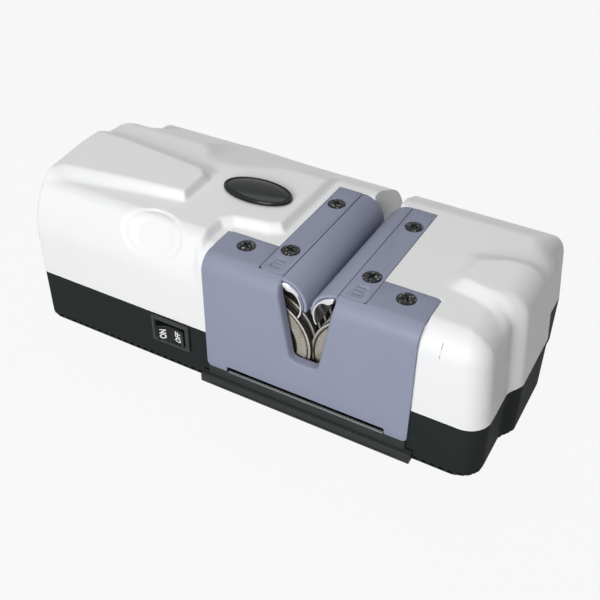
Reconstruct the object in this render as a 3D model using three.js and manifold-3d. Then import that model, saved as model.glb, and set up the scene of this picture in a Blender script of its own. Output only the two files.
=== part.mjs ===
// Electric knife sharpener: a white housing on a black base, one blade slot between two rolled
// guides, two arbors of interleaved abrasive discs under it, a motor and belt in the left half.
// Millimetres, +Z up, +X along the body to the right, +Y from the front wall to the back wall.
// The origin is at the bottom centre of the whole part, level with the feet.
import * as THREE from 'three';
import { mergeVertices } from 'three/addons/utils/BufferGeometryUtils.js';
import Module from 'manifold-3d';

const wasm = await Module();
wasm.setup();

// Body
const bodyLength = 246;
const bodyDepth = 114;
const footHeight = 3;
const baseHeight = 28;
const guideHeight = 73.3;
const padRise = 4;
const platformRise = 4.2;
const bandRise = 3;
const slotShift = 34;
const wall = 2.5;
const floorThickness = 2.5;
const seatGap = 0.3;
const runningGap = 0.09;
const faceGap = 0.1;
const overrun = 20;

// Body corners, swellings and back slope
const frontLeftRadius = 1.8;
const frontRightRadius = 11;
const backRadius = 5;
const crownFrontRadius = 18;
const restFrontRadius = 12;
const leftEdgeRadius = 3;
const rightEdgeRadius = 12;
const baseEdgeRadius = 1.4;
const leftSwell = { reach: 4, rise: [10, 50], fall: [74, 88] };
const leftDraft = 1.5;
const rightDraft = 4.2;
const rightSwell = { reach: 4.5, rise: [29, 40], fall: [65, 80] };
const eaveHeight = 62.2;
const eaveRound = 7;
const backDraft = 1.5;
const backSlope = THREE.MathUtils.degToRad(25);
const stopSpacing = 0.5;
const levelSpacing = 0.35;
const finestDetail = 0.004;

// Front plate, guide strips and rolled guides, from the slot centre
const plateThickness = 1.5;
const plateHalf = 52;
const plateBend = 8;
const tabDepth = 22.5;
const tabCorner = 2.5;
const lowerTabHeight = 10.3;
const lowerTabWidth = 10.5;
const plateNotchHeight = 13.3;
const mouthBottom = 32.8;
const mouthHalfBottom = 6.4;
const mouthCorner = 3;
const mouthMargin = 1.2;
const stripInner = 13.55;
const stripOuter = 25.6;
const stripFront = 4.7;
const stripBack = 82.2;
const stripCorner = 2;
const guideRadius = 12.2;
const guideHalfGap = 1;
const guideThickness = 1.4;
const guideWrap = THREE.MathUtils.degToRad(12);
const guideFront = 2.6;
const springThickness = 0.8;
const springFront = 1.4;
const springWrap = THREE.MathUtils.degToRad(32);
const openingHalf = 12.2;
const backNotchTop = 7;
const backNotchFoot = 2.2;
const backNotchHeight = 42;
const padMargin = 3.7;
const padCorner = 6;
const padSlant = 6.5;
const padBevel = 2.4;
const platformFoot = 1;
const platformSpreadShare = 0.8;

// Screws
const screwHead = 4.2;
const screwHeadDepth = 2.4;
const screwShank = 1.5;
const screwLength = 9.6;
const screwBoss = 3.6;
const crossWidth = 1.1;
const crossSpan = 4.6;
const crossDepth = 1.4;
const tabScrew = { x: 39, y: 15.8 };
const stripScrew = { x: 20.1, front: 22.5, back: 67.2 };
const baseScrewHead = 3.1;
const baseScrewHeadDepth = 2;
const baseScrewShank = 1.5;
const baseScrewInto = 14;
const baseBoss = 4.6;
const headClearance = 0.4;
const baseScrewInset = { x: 11, front: 12, back: 12 };

// Thumb dish and badge
const dishWidth = 36;
const dishHeight = 25;
const dishDepth = 2.2;
const dishFromSlot = 84;
const dishTilt = THREE.MathUtils.degToRad(48);
const badgeLength = 36.6;
const badgeWidth = 20;
const badgeEdge = 1.4;
const badgeCrown = 1.4;
const badgeFromSlot = 54.5;
const badgeFromFront = 51.4;

// Feet and filings tray
const footRadius = 7;
const footInset = { x: 20, y: 20 };
const lipReach = 4;
const lipHeight = 5;
const trayHalf = 55;
const trayPanelHeight = 10;
const trayPanelThickness = 1.2;
const panHalf = 50;
const panLength = 46;
const panWallHeight = 6.4;
const panWall = 1.6;
const trayOpeningHeight = 12.6;
const ventWidth = 3;
const ventPitch = 6.2;
const ventDepth = 1.2;
const ventLength = 9;
const ventRows = [{ from: -112, count: 9 }, { from: 58, count: 4 }];

// Rocker switch
const switchFromSlot = 73.5;
const bezelWidth = 21.9;
const bezelHeight = 15.6;
const bezelReach = 1.8;
const switchDepth = 13;
const switchBodyWidth = 20;
const switchBodyHeight = 13.6;
const rockerRadius = 8.5;
const rockerHeight = 11;
const rockerGap = 0.4;
const rockerTravel = THREE.MathUtils.degToRad(8);
const rockerRise = THREE.MathUtils.degToRad(33);
const rockerSink = THREE.MathUtils.degToRad(12);
const rockerDip = 1.8;
const rockerKeel = 3.2;
const rockerProud = 1.2;
const rockerPinRadius = 1.1;

// Discs and arbors
const arborHalf = 23.4;
const arborHeight = 35.5;
const arborRadius = 4;
const arborHead = 7.5;
const arborHeadDepth = 1.8;
const arborRoom = { skin: 1.2, margin: 1 };
const discRadius = 24;
const discThickness = 2.2;
const discRing = 17;
const discRecess = 0.6;
const discHub = 9;
const discPitch = 5.6;
const discsPerArbor = 5;
const discFront = 4;

// Bearing plates, bushings and gears
const bearingPlate = 3;
const bearingHalf = 44;
const bearingTop = 54;
const bearingVee = 12;
const bearingVeeFoot = 4.4;
const frontBearing = 47.5;
const rearBearing = 63.5;
const bushRadius = 6.2;
const bushFlange = 8.2;
const bushFlangeDepth = 1.5;
const gearTeeth = 12;
const gearWidth = 6;
const gearFront = 54;
const gearAddendumShare = 0.8;
const gearDedendumShare = 1.2;
const gearPressure = THREE.MathUtils.degToRad(20);
const gearBacklash = 0.3;
const idlerAxle = 2.4;

// Belt and pulleys
const beltThickness = 1.6;
const beltWidth = 5;
const pulleyWidth = 8;
const pulleyFront = 77.5;
const drivenRadius = 15;
const motorPulleyRadius = 7.5;
const pulleyFlange = 2.4;

// Motor
const motorFromSlot = 98;
const motorHeight = 40;
const statorHalf = 29;
const statorBelow = 26;
const statorAbove = 22;
const statorFront = 28.5;
const statorLength = 30;
const rotorRadius = 14.2;
const rotorGap = 0.45;
const rotorShaft = 3;
const rotorShaftFront = 11;
const coilLeg = 10;
const coilWindow = 4.2;
const coilThickness = 3.9;
const coilInset = 6;
const bracketHalf = 13;
const bracketThickness = 2;
const bracketAbove = 12;
const fanRadius = 21;
const fanHub = 6;
const fanWidth = 8;
const fanBlades = 7;
const fanBlade = 1.4;
const fanPitch = THREE.MathUtils.degToRad(35);

// Cord gland and terminal block
const glandFromEnd = 29;
const glandHeight = 14;
const glandRadius = 5;
const glandBore = 3.4;
const glandFlange = 7.4;
const glandFlangeDepth = 2.6;
const glandLength = 12;
const glandBoss = 10;
const glandBossDepth = 5;
const terminalSize = { x: 24, y: 12, z: 10 };
const terminalWell = { radius: 1.8, depth: 6, pitch: 7 };
const terminalFromSlot = 62;
const terminalFromBack = 22;

// Facets of round work
const coarse = 16;
const middling = 24;
const fine = 32;

// Derived places
const frontWall = (lipReach - bodyDepth) / 2;
const backWall = frontWall + bodyDepth;
const underside = footHeight;
const floorTop = underside + floorThickness;
const seam = underside + baseHeight;
const guidePlane = underside + guideHeight;
const plateBack = frontWall - seatGap;
const plateFace = plateBack - plateThickness;
const restPlane = guidePlane - plateThickness - seatGap;
const padTop = guidePlane + padRise;
const platformTop = padTop + platformRise;
const leftSpan = bodyLength / 2 + slotShift;
const rightSpan = bodyLength / 2 - slotShift;
const ledgeUnder = restPlane - wall;
const guideCentreX = guideRadius + guideHalfGap;
const guideCentreZ = guidePlane - guideRadius;
const arborZ = underside + arborHeight;
const switchX = slotShift - switchFromSlot;
const switchZ = seam - bezelHeight / 2;
const glandX = glandFromEnd - bodyLength / 2;
const glandZ = underside + glandHeight;

// Solids from geometry and back
function toSolid(geometry) {
  geometry.deleteAttribute('normal');
  geometry.deleteAttribute('uv');
  const merged = mergeVertices(geometry);
  const position = merged.attributes.position;
  const index = Uint32Array.from(merged.index.array);
  const corners = [new THREE.Vector3(), new THREE.Vector3(), new THREE.Vector3()];
  let sixfold = 0;
  for (let i = 0; i < index.length; i += 3) {
    corners.forEach((corner, k) => corner.fromBufferAttribute(position, index[i + k]));
    sixfold += corners[0].dot(corners[1].clone().cross(corners[2]));
  }
  if (sixfold < 0) {
    for (let i = 0; i < index.length; i += 3) {
      [index[i], index[i + 1]] = [index[i + 1], index[i]];
    }
  }
  const vertProperties = Float32Array.from(position.array);
  return new wasm.Manifold(new wasm.Mesh({ numProp: 3, vertProperties, triVerts: index }));
}

function toGeometry(solid) {
  const mesh = solid.asOriginal().simplify(finestDetail).getMesh();
  const geometry = new THREE.BufferGeometry();
  geometry.setAttribute('position', new THREE.BufferAttribute(mesh.vertProperties, 3));
  geometry.setIndex(new THREE.BufferAttribute(mesh.triVerts, 1));
  geometry.computeVertexNormals();
  return geometry;
}

function union(solids) {
  return solids.reduce((whole, solid) => whole.add(solid));
}

// Basic shapes, all placed in the part's frame
function block(x0, x1, y0, y1, z0, z1) {
  const geometry = new THREE.BoxGeometry(x1 - x0, y1 - y0, z1 - z0);
  geometry.translate((x0 + x1) / 2, (y0 + y1) / 2, (z0 + z1) / 2);
  return toSolid(geometry);
}

function shapeOf(points) {
  return new THREE.Shape(points.map(([a, b]) => new THREE.Vector2(a, b)));
}

function alongZ(points, z0, z1) {
  const geometry = new THREE.ExtrudeGeometry(shapeOf(points), { depth: z1 - z0, bevelEnabled: false });
  geometry.translate(0, 0, z0);
  return toSolid(geometry);
}

function alongY(points, y0, y1) {
  const geometry = new THREE.ExtrudeGeometry(shapeOf(points), { depth: y1 - y0, bevelEnabled: false });
  geometry.rotateX(Math.PI / 2);
  geometry.translate(0, y1, 0);
  return toSolid(geometry);
}

function turnedY(profile, x, y, z, segments) {
  const points = profile.map(([r, h]) => new THREE.Vector2(r, h));
  points.push(points[0].clone());
  const geometry = new THREE.LatheGeometry(points, segments);
  geometry.translate(x, y, z);
  return toSolid(geometry);
}

function turnedZ(profile, x, y, z, segments) {
  const points = profile.map(([r, h]) => new THREE.Vector2(r, h));
  points.push(points[0].clone());
  const geometry = new THREE.LatheGeometry(points, segments);
  geometry.rotateX(Math.PI / 2);
  geometry.translate(x, y, z);
  return toSolid(geometry);
}

function rodZ(radius, x, y, z0, z1, segments) {
  return turnedZ([[0, 0], [radius, 0], [radius, z1 - z0], [0, z1 - z0]], x, y, z0, segments);
}

function rodY(radius, x, z, y0, y1, segments) {
  return turnedY([[0, 0], [radius, 0], [radius, y1 - y0], [0, y1 - y0]], x, y0, z, segments);
}

function arc(cx, cy, radius, from, to, steps) {
  return Array.from({ length: steps + 1 }, (_, i) => {
    const angle = from + (to - from) * i / steps;
    return [cx + radius * Math.cos(angle), cy + radius * Math.sin(angle)];
  });
}

function loft(rings) {
  const count = rings[0].length;
  const positions = rings.flat().flatMap((p) => [p.x, p.y, p.z]);
  const index = [];
  for (let r = 0; r + 1 < rings.length; r += 1) {
    for (let i = 0; i < count; i += 1) {
      const a = r * count + i;
      const b = r * count + (i + 1) % count;
      index.push(a, b, b + count, a, b + count, a + count);
    }
  }
  const last = (rings.length - 1) * count;
  const cap = (ring) => THREE.ShapeUtils.triangulateShape(ring.map((p) => new THREE.Vector2(p.x, p.y)), []);
  cap(rings[0]).forEach(([a, b, c]) => index.push(a, c, b));
  cap(rings[rings.length - 1]).forEach(([a, b, c]) => index.push(last + a, last + b, last + c));
  const geometry = new THREE.BufferGeometry();
  geometry.setAttribute('position', new THREE.Float32BufferAttribute(positions, 3));
  geometry.setIndex(index);
  return toSolid(geometry);
}

// Body outline: rounded corners, and ends that swell out along part of the depth
function swellShare(distance, swell) {
  const rise = THREE.MathUtils.smoothstep(distance, swell.rise[0], swell.rise[1]);
  const fall = THREE.MathUtils.smoothstep(distance, swell.fall[0], swell.fall[1]);
  return rise * (1 - fall);
}

function endReach(y, swell) {
  return bodyLength / 2 - swell.reach * (1 - swellShare(y - frontWall, swell));
}

function swellStops(swell) {
  const middle = ([from, to]) => (from + to) / 2;
  return [
    swell.rise[0], middle(swell.rise), swell.rise[1],
    middle([swell.rise[1], swell.fall[0]]),
    swell.fall[0], middle(swell.fall), swell.fall[1],
  ];
}

function bodyRing(z, front, back, ends, steps) {
  const y0 = frontWall + front;
  const y1 = backWall - back;
  const corner = (radius) => Math.max(radius, levelSpacing);
  const side = (swell, sign, frontRadius, inset) => {
    const low = y0 + frontRadius;
    const high = y1 - backRadius;
    const stops = swellStops(swell);
    const last = stops.length;
    return stops.map((stop, i) => {
      const lowest = low + (i + 1) * stopSpacing;
      const highest = high - (last - i) * stopSpacing;
      const y = Math.min(Math.max(frontWall + stop, lowest), highest);
      return [sign * (endReach(y, swell) - inset), y];
    });
  };
  const cornerArc = (swell, sign, radius, inset, y, from, to) => {
    const x = sign * (endReach(y, swell) - inset - radius);
    return arc(x, y, corner(radius), from, to, steps);
  };
  const quarter = Math.PI / 2;
  const points = [
    ...cornerArc(rightSwell, 1, frontRightRadius, ends.right, y0 + frontRightRadius, -quarter, 0),
    ...side(rightSwell, 1, frontRightRadius, ends.right),
    ...cornerArc(rightSwell, 1, backRadius, ends.right, y1 - backRadius, 0, quarter),
    ...cornerArc(leftSwell, -1, backRadius, ends.left, y1 - backRadius, quarter, 2 * quarter),
    ...side(leftSwell, -1, frontLeftRadius, ends.left).reverse(),
    ...cornerArc(leftSwell, -1, frontLeftRadius, ends.left, y0 + frontLeftRadius, 2 * quarter, 3 * quarter),
  ];
  return points.map(([x, y]) => new THREE.Vector3(x, y, z));
}

// Inset of the back wall at a height: a drafted wall, a rounded eave and the slope above it
const eave = underside + eaveHeight;
const eaveTurn = [
  { z: eave - eaveRound, inset: backDraft },
  { z: eave, inset: backDraft },
  { z: eave + eaveRound * Math.sin(backSlope), inset: backDraft + eaveRound * Math.cos(backSlope) },
];

function backProfile() {
  const between = (a, b, t) => a * (1 - t) + b * t;
  const turn = [0, 1, 2, 3, 4].map((i) => {
    const t = i / 4;
    const at = (key) => between(
      between(eaveTurn[0][key], eaveTurn[1][key], t),
      between(eaveTurn[1][key], eaveTurn[2][key], t),
      t,
    );
    return { z: at('z'), inset: at('inset') };
  });
  const end = eaveTurn[2];
  const highest = end.z + bodyDepth;
  const top = { z: highest, inset: end.inset + (highest - end.z) / Math.tan(backSlope) };
  return [{ z: seam, inset: 0 }, ...turn, top];
}

const backPoints = backProfile();

function backInset(z) {
  if (z <= backPoints[0].z) {
    return 0;
  }
  const next = backPoints.findIndex((point) => point.z > z);
  const [low, high] = [backPoints[next - 1], backPoints[next]];
  return low.inset + (high.inset - low.inset) * (z - low.z) / (high.z - low.z);
}

function roundInset(radius, drop) {
  return drop >= radius ? 0 : radius - Math.sqrt(radius ** 2 - (radius - drop) ** 2);
}

// A form of the body from a bottom height to a flat top, with every top edge rounded
function crown({ top, frontRadius, leftRadius, rightRadius, bottom, skin, steps }) {
  const radii = [frontRadius, leftRadius, rightRadius]
    .map((radius) => Math.max(radius - skin, levelSpacing));
  const bands = [15, 35, 55, 75].map((degrees) => Math.sin(THREE.MathUtils.degToRad(degrees)));
  const levels = [bottom, top, ...backPoints.map((point) => point.z)];
  [radii[0], radii[2]].forEach((radius) => {
    levels.push(top - radius);
    bands.forEach((share) => levels.push(top - radius * (1 - share)));
  });
  const sorted = levels.filter((z) => z >= bottom && z <= top).sort((a, b) => a - b);
  const kept = sorted.filter((z, i) => i === 0 || z === top || z - sorted[i - 1] > levelSpacing);
  const rings = kept.map((z) => {
    const drop = top - z;
    const rise = (z - seam) / (guidePlane - seam);
    const ends = {
      left: skin + leftDraft * rise + roundInset(radii[1], drop),
      right: skin + rightDraft * rise + roundInset(radii[2], drop),
    };
    const back = skin > 0 ? Math.max(backInset(z) + skin, backInset(z + skin)) : backInset(z);
    return bodyRing(z, skin + roundInset(radii[0], drop), back, ends, steps);
  });
  return loft(rings);
}

// A prism whose outline changes from a lower to an upper one between two heights; spread carries the
// slope on below the lower one by that share of its height
function ramped(lower, upper, z0, z1, spread) {
  const ring = (points, z) => points.map(([x, y]) => new THREE.Vector3(x, y, z));
  const foot = lower.map(([x, y], i) => [x + (x - upper[i][0]) * spread, y + (y - upper[i][1]) * spread]);
  const z = z0 - (z1 - z0) * spread;
  return loft([ring(foot, z - overrun), ring(foot, z), ring(upper, z1), ring(upper, z1 + overrun)]);
}

function offset(points, distance) {
  const count = points.length;
  return points.map((point, i) => {
    const before = points[(i + count - 1) % count];
    const after = points[(i + 1) % count];
    const normal = (a, b) => {
      const length = Math.hypot(b[0] - a[0], b[1] - a[1]);
      return [(b[1] - a[1]) / length, -(b[0] - a[0]) / length];
    };
    const n0 = normal(before, point);
    const n1 = normal(point, after);
    const scale = distance / (1 + n0[0] * n1[0] + n0[1] * n1[1]);
    return [point[0] + (n0[0] + n1[0]) * scale, point[1] + (n0[1] + n1[1]) * scale];
  });
}

// The raised pad stops at a bevel that runs round the plates on the left of the slot
function padOutline() {
  const tabEdge = slotShift - plateHalf - padMargin;
  const stripEdge = slotShift - stripOuter - padMargin;
  const tabEnd = frontWall + tabDepth + padMargin;
  return [
    [-bodyLength, frontWall - overrun],
    [tabEdge, frontWall - overrun],
    [tabEdge, tabEnd - padMargin],
    [tabEdge + padMargin, tabEnd],
    [stripEdge - padCorner, tabEnd + padSlant - padMargin],
    [stripEdge, tabEnd + padSlant + padMargin],
    [stripEdge, backWall + overrun],
    [-bodyLength, backWall + overrun],
  ];
}

const platformShares = [
  [1.15, 0.1], [0.964, 0.128], [0.936, 0.184], [0.672, 0.239], [0.521, 0.26], [0.527, 0.423], [0.56, 0.456],
  [0.67, 0.475], [0.873, 0.506], [1.15, 0.51],
];
const platformFootShares = [
  [1.15, 0.04], [0.96, 0.078], [0.874, 0.133], [0.655, 0.199], [0.508, 0.237], [0.513, 0.5], [0.53, 0.53],
  [0.67, 0.56], [0.873, 0.59], [1.15, 0.605],
];
const bandLowerShares = [
  [0.49, 0.33], [0.54, 0.283], [0.715, 0.261], [0.844, 0.22], [0.908, 0.175], [0.944, 0.132], [1.2, 0.02],
  [1.2, 0.645], [0.912, 0.6], [0.753, 0.575], [0.5, 0.525],
];
const bandUpperShares = [
  [0.6, 0.37], [0.62, 0.333], [0.743, 0.311], [0.868, 0.302], [0.92, 0.28], [0.963, 0.259], [1.2, 0.15],
  [1.2, 0.57], [0.912, 0.54], [0.753, 0.52], [0.64, 0.47],
];

function fromShares(shares, span, sign) {
  return shares.map(([u, v]) => [slotShift + sign * u * span, frontWall + v * bodyDepth]);
}

// Upper housing
function mouthOutline(margin, top) {
  const slope = (stripInner - mouthHalfBottom) / (guideHeight - mouthBottom);
  const foot = underside + mouthBottom - margin;
  const half = (z) => mouthHalfBottom + margin + slope * (z - underside - mouthBottom);
  const corner = mouthCorner;
  return [
    [slotShift - half(foot) + corner, foot],
    [slotShift + half(foot) - corner, foot],
    [slotShift + half(foot) - corner / 4, foot + corner / 4],
    [slotShift + half(foot + corner), foot + corner],
    [slotShift + half(top), top],
    [slotShift - half(top), top],
    [slotShift - half(foot + corner), foot + corner],
    [slotShift - half(foot) + corner / 4, foot + corner / 4],
  ];
}

function thumbDish() {
  const geometry = new THREE.SphereGeometry(1, middling, coarse);
  geometry.scale(dishWidth / 2, dishHeight / 2, dishDepth);
  geometry.rotateX(dishTilt);
  const inward = crownFrontRadius * (1 - Math.sin(dishTilt));
  const down = crownFrontRadius * (1 - Math.cos(dishTilt));
  geometry.translate(slotShift - dishFromSlot, frontWall + inward, padTop - down);
  return toSolid(geometry);
}

const topScrews = {
  plate_screw_left: [-tabScrew.x, tabScrew.y],
  plate_screw_right: [tabScrew.x, tabScrew.y],
  strip_screw_left_front: [-stripScrew.x, stripScrew.front],
  strip_screw_left_back: [-stripScrew.x, stripScrew.back],
  strip_screw_right_front: [stripScrew.x, stripScrew.front],
  strip_screw_right_back: [stripScrew.x, stripScrew.back],
};

const postX = bodyLength / 2 - Math.max(leftSwell.reach, rightSwell.reach) - baseScrewInset.x;
const baseScrews = {
  base_screw_front_left: [-postX, frontWall + baseScrewInset.front],
  base_screw_front_right: [postX, frontWall + baseScrewInset.front],
  base_screw_back_left: [-postX, backWall - baseScrewInset.back],
  base_screw_back_right: [postX, backWall - baseScrewInset.back],
};

function upperHousing() {
  const bottom = seam + seatGap;
  const outer = { bottom, skin: 0, steps: 4 };
  const inner = { bottom: bottom - overrun, skin: wall, steps: 1 };
  const rest = {
    top: guidePlane, frontRadius: restFrontRadius, leftRadius: leftEdgeRadius, rightRadius: rightEdgeRadius,
  };
  const raised = { frontRadius: crownFrontRadius, leftRadius: leftEdgeRadius, rightRadius: leftEdgeRadius };
  const padEdge = padOutline();
  const platformEdge = fromShares(platformShares, leftSpan, -1);
  const platformFootEdge = fromShares(platformFootShares, leftSpan, -1);
  const left = crown({ ...raised, ...outer, top: padTop })
    .intersect(ramped(padEdge, offset(padEdge, -padBevel), guidePlane, padTop, 0));
  const platform = crown({ ...raised, ...outer, top: platformTop })
    .intersect(
      ramped(platformFootEdge, platformEdge, padTop - platformFoot, platformTop, platformSpreadShare),
    )
    .intersect(block(-bodyLength, bodyLength, frontWall, backWall, bottom, platformTop + overrun));
  const band = crown({ ...rest, ...outer, top: guidePlane + bandRise })
    .intersect(ramped(
      fromShares(bandLowerShares, rightSpan, 1),
      fromShares(bandUpperShares, rightSpan, 1),
      guidePlane,
      guidePlane + bandRise,
      0,
    ));
  const cavity = crown({ ...rest, ...inner, top: restPlane - wall });
  const leftRoom = crown({ ...raised, ...inner, top: padTop - wall - dishDepth })
    .intersect(block(-bodyLength, slotShift - plateHalf - padMargin - padBevel - wall,
      frontWall, backWall, bottom - overrun, platformTop));
  let solid = union([crown({ ...rest, ...outer }), left, platform, band])
    .subtract(cavity)
    .subtract(leftRoom)
    .subtract(thumbDish());
  const bosses = Object.values(topScrews).map(([x, y]) => (
    rodZ(screwBoss, slotShift + x, frontWall + y, ledgeUnder - screwLength + plateThickness + wall,
      restPlane - faceGap, coarse)
  ));
  const posts = Object.values(baseScrews).map(([x, y]) => (
    rodZ(baseBoss, x, y, bottom, restPlane - wall / 2, coarse)
  ));
  const form = crown({ ...rest, ...outer, top: restPlane - wall / 2 });
  solid = union([solid, ...bosses, ...posts.map((post) => post.intersect(form))]);
  const topBores = Object.values(topScrews).map(([x, y]) => (
    rodZ(screwShank + seatGap, slotShift + x, frontWall + y, guidePlane - screwLength - seatGap,
      guidePlane, coarse)
  ));
  const headRooms = Object.values(topScrews).map(([x, y]) => (
    turnedZ(
      [[0, -overrun / 2], [screwShank + seatGap, -overrun / 2], [screwShank + seatGap, -screwHeadDepth],
        [screwHead + seatGap, 0], [screwHead + seatGap, overrun], [0, overrun]],
      slotShift + x, frontWall + y, guidePlane, coarse,
    )
  ));
  const postBores = Object.values(baseScrews).map(([x, y]) => (
    rodZ(baseScrewShank + seatGap, x, y, bottom - overrun, seam + baseScrewInto + headClearance, coarse)
  ));
  const recesses = [
    block(slotShift - plateHalf - seatGap, slotShift + plateHalf + seatGap, frontWall - overrun,
      frontWall + tabDepth + seatGap, restPlane, guidePlane + overrun),
    block(slotShift - stripOuter - seatGap, slotShift + stripOuter + seatGap, frontWall - overrun,
      frontWall + stripBack + seatGap, restPlane, guidePlane + overrun),
  ];
  const opening = block(slotShift - openingHalf, slotShift + openingHalf,
    frontWall + guideFront, frontWall + stripBack + seatGap, ledgeUnder - overrun, guidePlane + overrun);
  const roomHalf = arborHalf + arborHead + arborRoom.margin;
  const room = block(slotShift - roomHalf, slotShift + roomHalf, frontWall + arborRoom.skin,
    frontWall + wall + arborRoom.margin, bottom - overrun, arborZ + arborHead + arborRoom.margin);
  const mouth = alongY(mouthOutline(mouthMargin, platformTop), frontWall - overrun, frontWall + 2 * wall);
  const notch = alongY([
    [slotShift - backNotchFoot, underside + backNotchHeight],
    [slotShift + backNotchFoot, underside + backNotchHeight],
    [slotShift + backNotchTop, guidePlane],
    [slotShift - backNotchTop, guidePlane],
  ], frontWall + stripBack - wall, backWall + overrun);
  return [...recesses, opening, room, mouth, notch, ...topBores, ...headRooms, ...postBores]
    .reduce((whole, cut) => whole.subtract(cut), solid);
}

// Base shell
function baseShell() {
  const flat = { left: 0, right: 0 };
  const rounds = [0, 30, 60, 90].map((degrees) => THREE.MathUtils.degToRad(degrees));
  const rings = rounds.map((angle) => {
    const inset = baseEdgeRadius * (1 - Math.sin(angle));
    const z = underside + baseEdgeRadius * (1 - Math.cos(angle));
    return bodyRing(z, inset, inset, { left: inset, right: inset }, 4);
  });
  rings.push(bodyRing(seam, 0, 0, flat, 4));
  const within = { left: wall, right: wall };
  const room = loft([
    bodyRing(floorTop, wall, wall, within, 1),
    bodyRing(seam + overrun, wall, wall, within, 1),
  ]);
  const bosses = Object.values(baseScrews).map(([x, y]) => (
    rodZ(baseBoss, x, y, underside + faceGap, seam - faceGap, coarse)
  ));
  const glandSeat = backWall - wall - glandBossDepth;
  bosses.push(rodY(glandBoss, glandX, glandZ, glandSeat, backWall - wall / 2, middling));
  let solid = union([loft(rings).subtract(room), ...bosses]);
  const screwCuts = Object.values(baseScrews).map(([x, y]) => turnedZ([
    [0, -overrun], [baseScrewHead + headClearance, -overrun],
    [baseScrewHead + headClearance, baseScrewHeadDepth + headClearance],
    [baseScrewShank + seatGap, baseScrewHeadDepth + headClearance],
    [baseScrewShank + seatGap, baseHeight + overrun], [0, baseHeight + overrun],
  ], x, y, underside, coarse));
  const trayCut = block(slotShift - panHalf - seatGap, slotShift + panHalf + seatGap,
    frontWall - overrun, frontWall + wall * 2, floorTop, underside + trayOpeningHeight);
  const switchCut = block(
    switchX - switchBodyWidth / 2 - seatGap, switchX + switchBodyWidth / 2 + seatGap,
    frontWall - overrun, frontWall + wall * 2,
    switchZ - switchBodyHeight / 2 - seatGap, switchZ + switchBodyHeight / 2 + seatGap,
  );
  const glandCuts = [
    rodY(glandRadius + seatGap, glandX, glandZ, backWall - overrun, backWall + overrun, middling),
    rodY(glandFlange + seatGap, glandX, glandZ, backWall - glandFlangeDepth - seatGap,
      backWall + overrun, middling),
  ];
  const vents = ventRows.flatMap(({ from, count }) => (
    Array.from({ length: count }, (_, i) => {
      const x = slotShift + from + i * ventPitch;
      return block(x, x + ventWidth, frontWall - overrun, frontWall + ventLength, underside - overrun,
        underside + ventDepth);
    })
  ));
  solid = [trayCut, switchCut, ...screwCuts, ...glandCuts, ...vents]
    .reduce((whole, cut) => whole.subtract(cut), solid);
  return solid;
}

// Front plate: bent sheet with a vee mouth, two upper tabs and two lower tabs
function frontPlate() {
  const y0 = plateFace;
  const top = guidePlane;
  const back = frontWall + tabDepth;
  const bendOuter = arc(y0 + plateBend, top - plateBend, plateBend, Math.PI, Math.PI / 2, 6);
  const bendRadius = plateBend - plateThickness;
  const bendInner = arc(y0 + plateBend, top - plateBend, bendRadius, Math.PI / 2, Math.PI, 6);
  const section = [
    [y0, underside + lowerTabHeight], ...bendOuter, [back, top], [back, top - plateThickness],
    ...bendInner, [y0 + plateThickness, underside + lowerTabHeight],
  ];
  const depth = 2 * plateHalf;
  const geometry = new THREE.ExtrudeGeometry(shapeOf(section), { depth, bevelEnabled: false });
  geometry.rotateX(Math.PI / 2);
  geometry.rotateZ(Math.PI / 2);
  geometry.translate(slotShift - plateHalf, 0, 0);
  const sheet = toSolid(geometry);
  const lowerNotch = block(slotShift - plateHalf + lowerTabWidth, slotShift + plateHalf - lowerTabWidth,
    y0 - overrun, frontWall, underside, underside + plateNotchHeight);
  const stripPocket = block(slotShift - stripOuter - seatGap, slotShift + stripOuter + seatGap,
    frontWall + stripFront - seatGap, frontWall + overrun * 2, top - plateBend, top + overrun);
  const corners = [-1, 1].flatMap((side) => {
    const x = slotShift + side * plateHalf;
    const cut = (z) => {
      const reach = side * tabCorner;
      const points = [[x - reach, z - tabCorner], [x + reach, z - tabCorner], [x + reach, z + tabCorner]];
      return alongY(points, y0 - overrun, frontWall);
    };
    const topCut = alongZ([
      [x - side * tabCorner, back + tabCorner], [x + side * tabCorner, back + tabCorner],
      [x + side * tabCorner, back - tabCorner],
    ], top - plateBend, top + overrun);
    return [cut(underside + lowerTabHeight), topCut];
  });
  const heads = ['plate_screw_left', 'plate_screw_right'].map((name) => countersink(topScrews[name]));
  const mouth = alongY(mouthOutline(0, top + overrun), y0 - overrun, frontWall + overrun);
  return [lowerNotch, stripPocket, mouth, ...corners, ...heads]
    .reduce((whole, cut) => whole.subtract(cut), sheet);
}

function countersink([x, y]) {
  return turnedZ([
    [0, -overrun], [screwShank + seatGap, -overrun], [screwShank + seatGap, -screwHeadDepth - seatGap],
    [screwHead + seatGap, -seatGap], [screwHead + seatGap, overrun], [0, overrun],
  ], slotShift + x, frontWall + y, guidePlane, middling);
}

// Guide strips, rolled guides and the sprung leaves under them; side is -1 left, 1 right
function guideStrip(side) {
  const x0 = slotShift + side * stripInner;
  const x1 = slotShift + side * stripOuter;
  const y0 = frontWall + stripFront;
  const y1 = frontWall + stripBack;
  const outline = [
    [x0, y0], [x1 - side * stripCorner, y0], [x1, y0 + stripCorner], [x1, y1], [x0, y1],
  ];
  const names = side < 0 ? ['strip_screw_left_front', 'strip_screw_left_back']
    : ['strip_screw_right_front', 'strip_screw_right_back'];
  return names.reduce(
    (strip, name) => strip.subtract(countersink(topScrews[name])),
    alongZ(outline, guidePlane - plateThickness, guidePlane),
  );
}

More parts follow.
